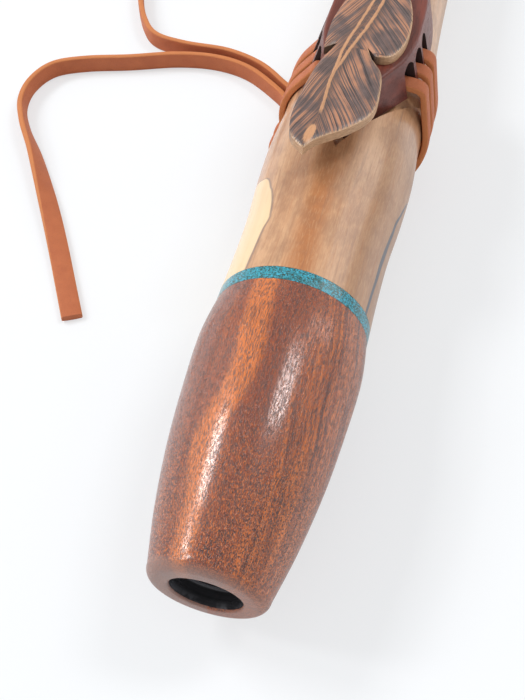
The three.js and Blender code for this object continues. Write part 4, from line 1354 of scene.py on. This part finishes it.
class FLUTE_OT_winding(bpy.types.Operator):
    """Winds the lace round the body and through the block, with its knot"""

    bl_idname = "flute.winding"
    bl_label = "Lace winding and knot"

    def execute(self, context):
        add_lace(context, "lace_turns", "lace_winding", self.winding(), LACE_WIDTH)
        add_lace(context, "lace_hitch", "lace_knot", self.knot(), LACE_WIDTH)
        return {"FINISHED"}

    def winding(self):
        stations = []
        for turn in range(TUNNEL_COUNT):
            first = FIRST_END_STEPS if turn == 0 else UNDER_STEPS
            under = range(first * UNDER_FINENESS, -1, -1)
            stations += [under_station(turn, step / UNDER_FINENESS) for step in under]
            y = TUNNEL_FIRST + turn * TUNNEL_PITCH
            for angle in evenly(RIGHT_TOUCH, BOW_START, LIP_STEPS)[1:]:
                stations.append(station_at(angle, BOW_BEND, BOW_X, y, BOW_Z))
            for angle in evenly(BOW_START, 0, LIP_STEPS):
                stations.append(station_at(angle, LIP_BEND, RIGHT_LIP, y, TUNNEL_FLOOR))
            for angle in evenly(0, -LEFT_TOUCH, LIP_STEPS):
                stations.append(station_at(angle, LIP_BEND, -LEFT_LIP, y, TUNNEL_FLOOR))
        last = range(UNDER_STEPS * UNDER_FINENESS, LAST_END_STEPS * UNDER_FINENESS - 1, -1)
        stations += [under_station(TUNNEL_COUNT, step / UNDER_FINENESS) for step in last]
        return stations

    def knot(self):
        _, _, out = under_station(1, (FIRST_END_STEPS + LAST_END_STEPS) / 2)
        station = TUNNEL_FIRST + TUNNEL_PITCH * (1 - 1 / TUNNEL_COUNT)
        reach = LACE_LINE_RADIUS + LACE_THICKNESS / 2 + FIT_GAP + KNOT_RADIUS
        centre = out * reach + Vector((0, station, 0))
        half_length = KNOT_TURNS * KNOT_PITCH / 2
        stations = []
        for turns in evenly(0, KNOT_TURNS, KNOT_STEPS):
            shift = turns * KNOT_PITCH - half_length
            angle = turns * 2 * math.pi
            radius = KNOT_RADIUS - LACE_THICKNESS / 2
            stations.append(station_at(angle, radius, centre.x, centre.y + shift, centre.z))
        return stations


class FLUTE_OT_loose_ends(bpy.types.Operator):
    """Lays the two loose ends of the lace"""

    bl_idname = "flute.loose_ends"
    bl_label = "Loose lace ends"

    def execute(self, context):
        self.lay(context, "lace_tail_near", "lace_end_near", NEAR_END_ROUTE, NEAR_END_LEAN)
        self.lay(context, "lace_tail_far", "lace_end_far", FAR_END_ROUTE, FAR_END_LEAN)
        return {"FINISHED"}

    def lay(self, context, name, node, route, leaning):
        """Lays a strap on its edge along the route, and leans it over as told."""
        line = through(
            [Vector((x * MM, station * MM + MOUTH.y, height * MM)) for x, station, height in route],
            ROUTE_STEPS * (len(route) - 1),
        )
        start, stop, degrees = leaning
        up = Vector((0, 0, 1))
        runs = [0.0]
        for first, second in zip(line, line[1:]):
            runs.append(runs[-1] + (second - first).length)
        stations = []
        for index, place in enumerate(line):
            ahead = (line[min(index + 1, len(line) - 1)] - line[max(index - 1, 0)]).normalized()
            side = ahead.cross(up).normalized()
            over = side.cross(ahead).normalized()
            share = (runs[index] / runs[-1] - start) / (stop - start)
            lean = math.radians(degrees * eased(min(1, max(0, share))))
            across = Matrix.Rotation(lean, 3, ahead) @ over
            half_height = (TAIL_LACE_WIDTH * math.cos(lean) + LACE_THICKNESS * math.sin(lean)) / 2
            stations.append((place + up * half_height, across, across.cross(ahead).normalized()))
        piece = add_lace(context, name, node, stations, TAIL_LACE_WIDTH, Matrix.Identity(4))
        path = [middle for middle, _, _ in stations]
        length = sum((b - a).length for a, b in zip(path, path[1:]))


class FLUTE_PT_panel(bpy.types.Panel):
    """Lists the flute's pieces, sizes, colours and lights"""

    bl_idname = "FLUTE_PT_panel"
    bl_label = "Wooden block flute"
    bl_space_type = "VIEW_3D"
    bl_region_type = "UI"
    bl_category = "Flute"

    def draw(self, context):
        for operator in OPERATORS:
            self.layout.operator(operator.bl_idname)
        for group in (context.scene.flute_sizes, context.scene.flute_colours, context.scene.flute_studio):
            for name in group.__annotations__:
                self.layout.prop(group, name)


OPERATORS = (
    FLUTE_OT_stage,
    FLUTE_OT_loose_ends,
    FLUTE_OT_mouthpiece,
    FLUTE_OT_band,
    FLUTE_OT_body,
    FLUTE_OT_block,
    FLUTE_OT_feather,
    FLUTE_OT_winding,
)
CLASSES = (FluteSizes, FluteColours, FluteStudio, *OPERATORS, FLUTE_PT_panel)


def register():
    for cls in CLASSES:
        bpy.utils.register_class(cls)
    bpy.types.Scene.flute_sizes = PointerProperty(type=FluteSizes)
    bpy.types.Scene.flute_colours = PointerProperty(type=FluteColours)
    bpy.types.Scene.flute_studio = PointerProperty(type=FluteStudio)


def unregister():
    del bpy.types.Scene.flute_studio
    del bpy.types.Scene.flute_colours
    del bpy.types.Scene.flute_sizes
    for cls in reversed(CLASSES):
        bpy.utils.unregister_class(cls)


def main():
    register()
    bpy.ops.flute.stage()
    bpy.ops.flute.loose_ends()
    bpy.ops.flute.mouthpiece()
    bpy.ops.flute.band()
    bpy.ops.flute.body()
    bpy.ops.flute.block()
    bpy.ops.flute.feather()
    bpy.ops.flute.winding()


if __name__ == "__main__":
    main()
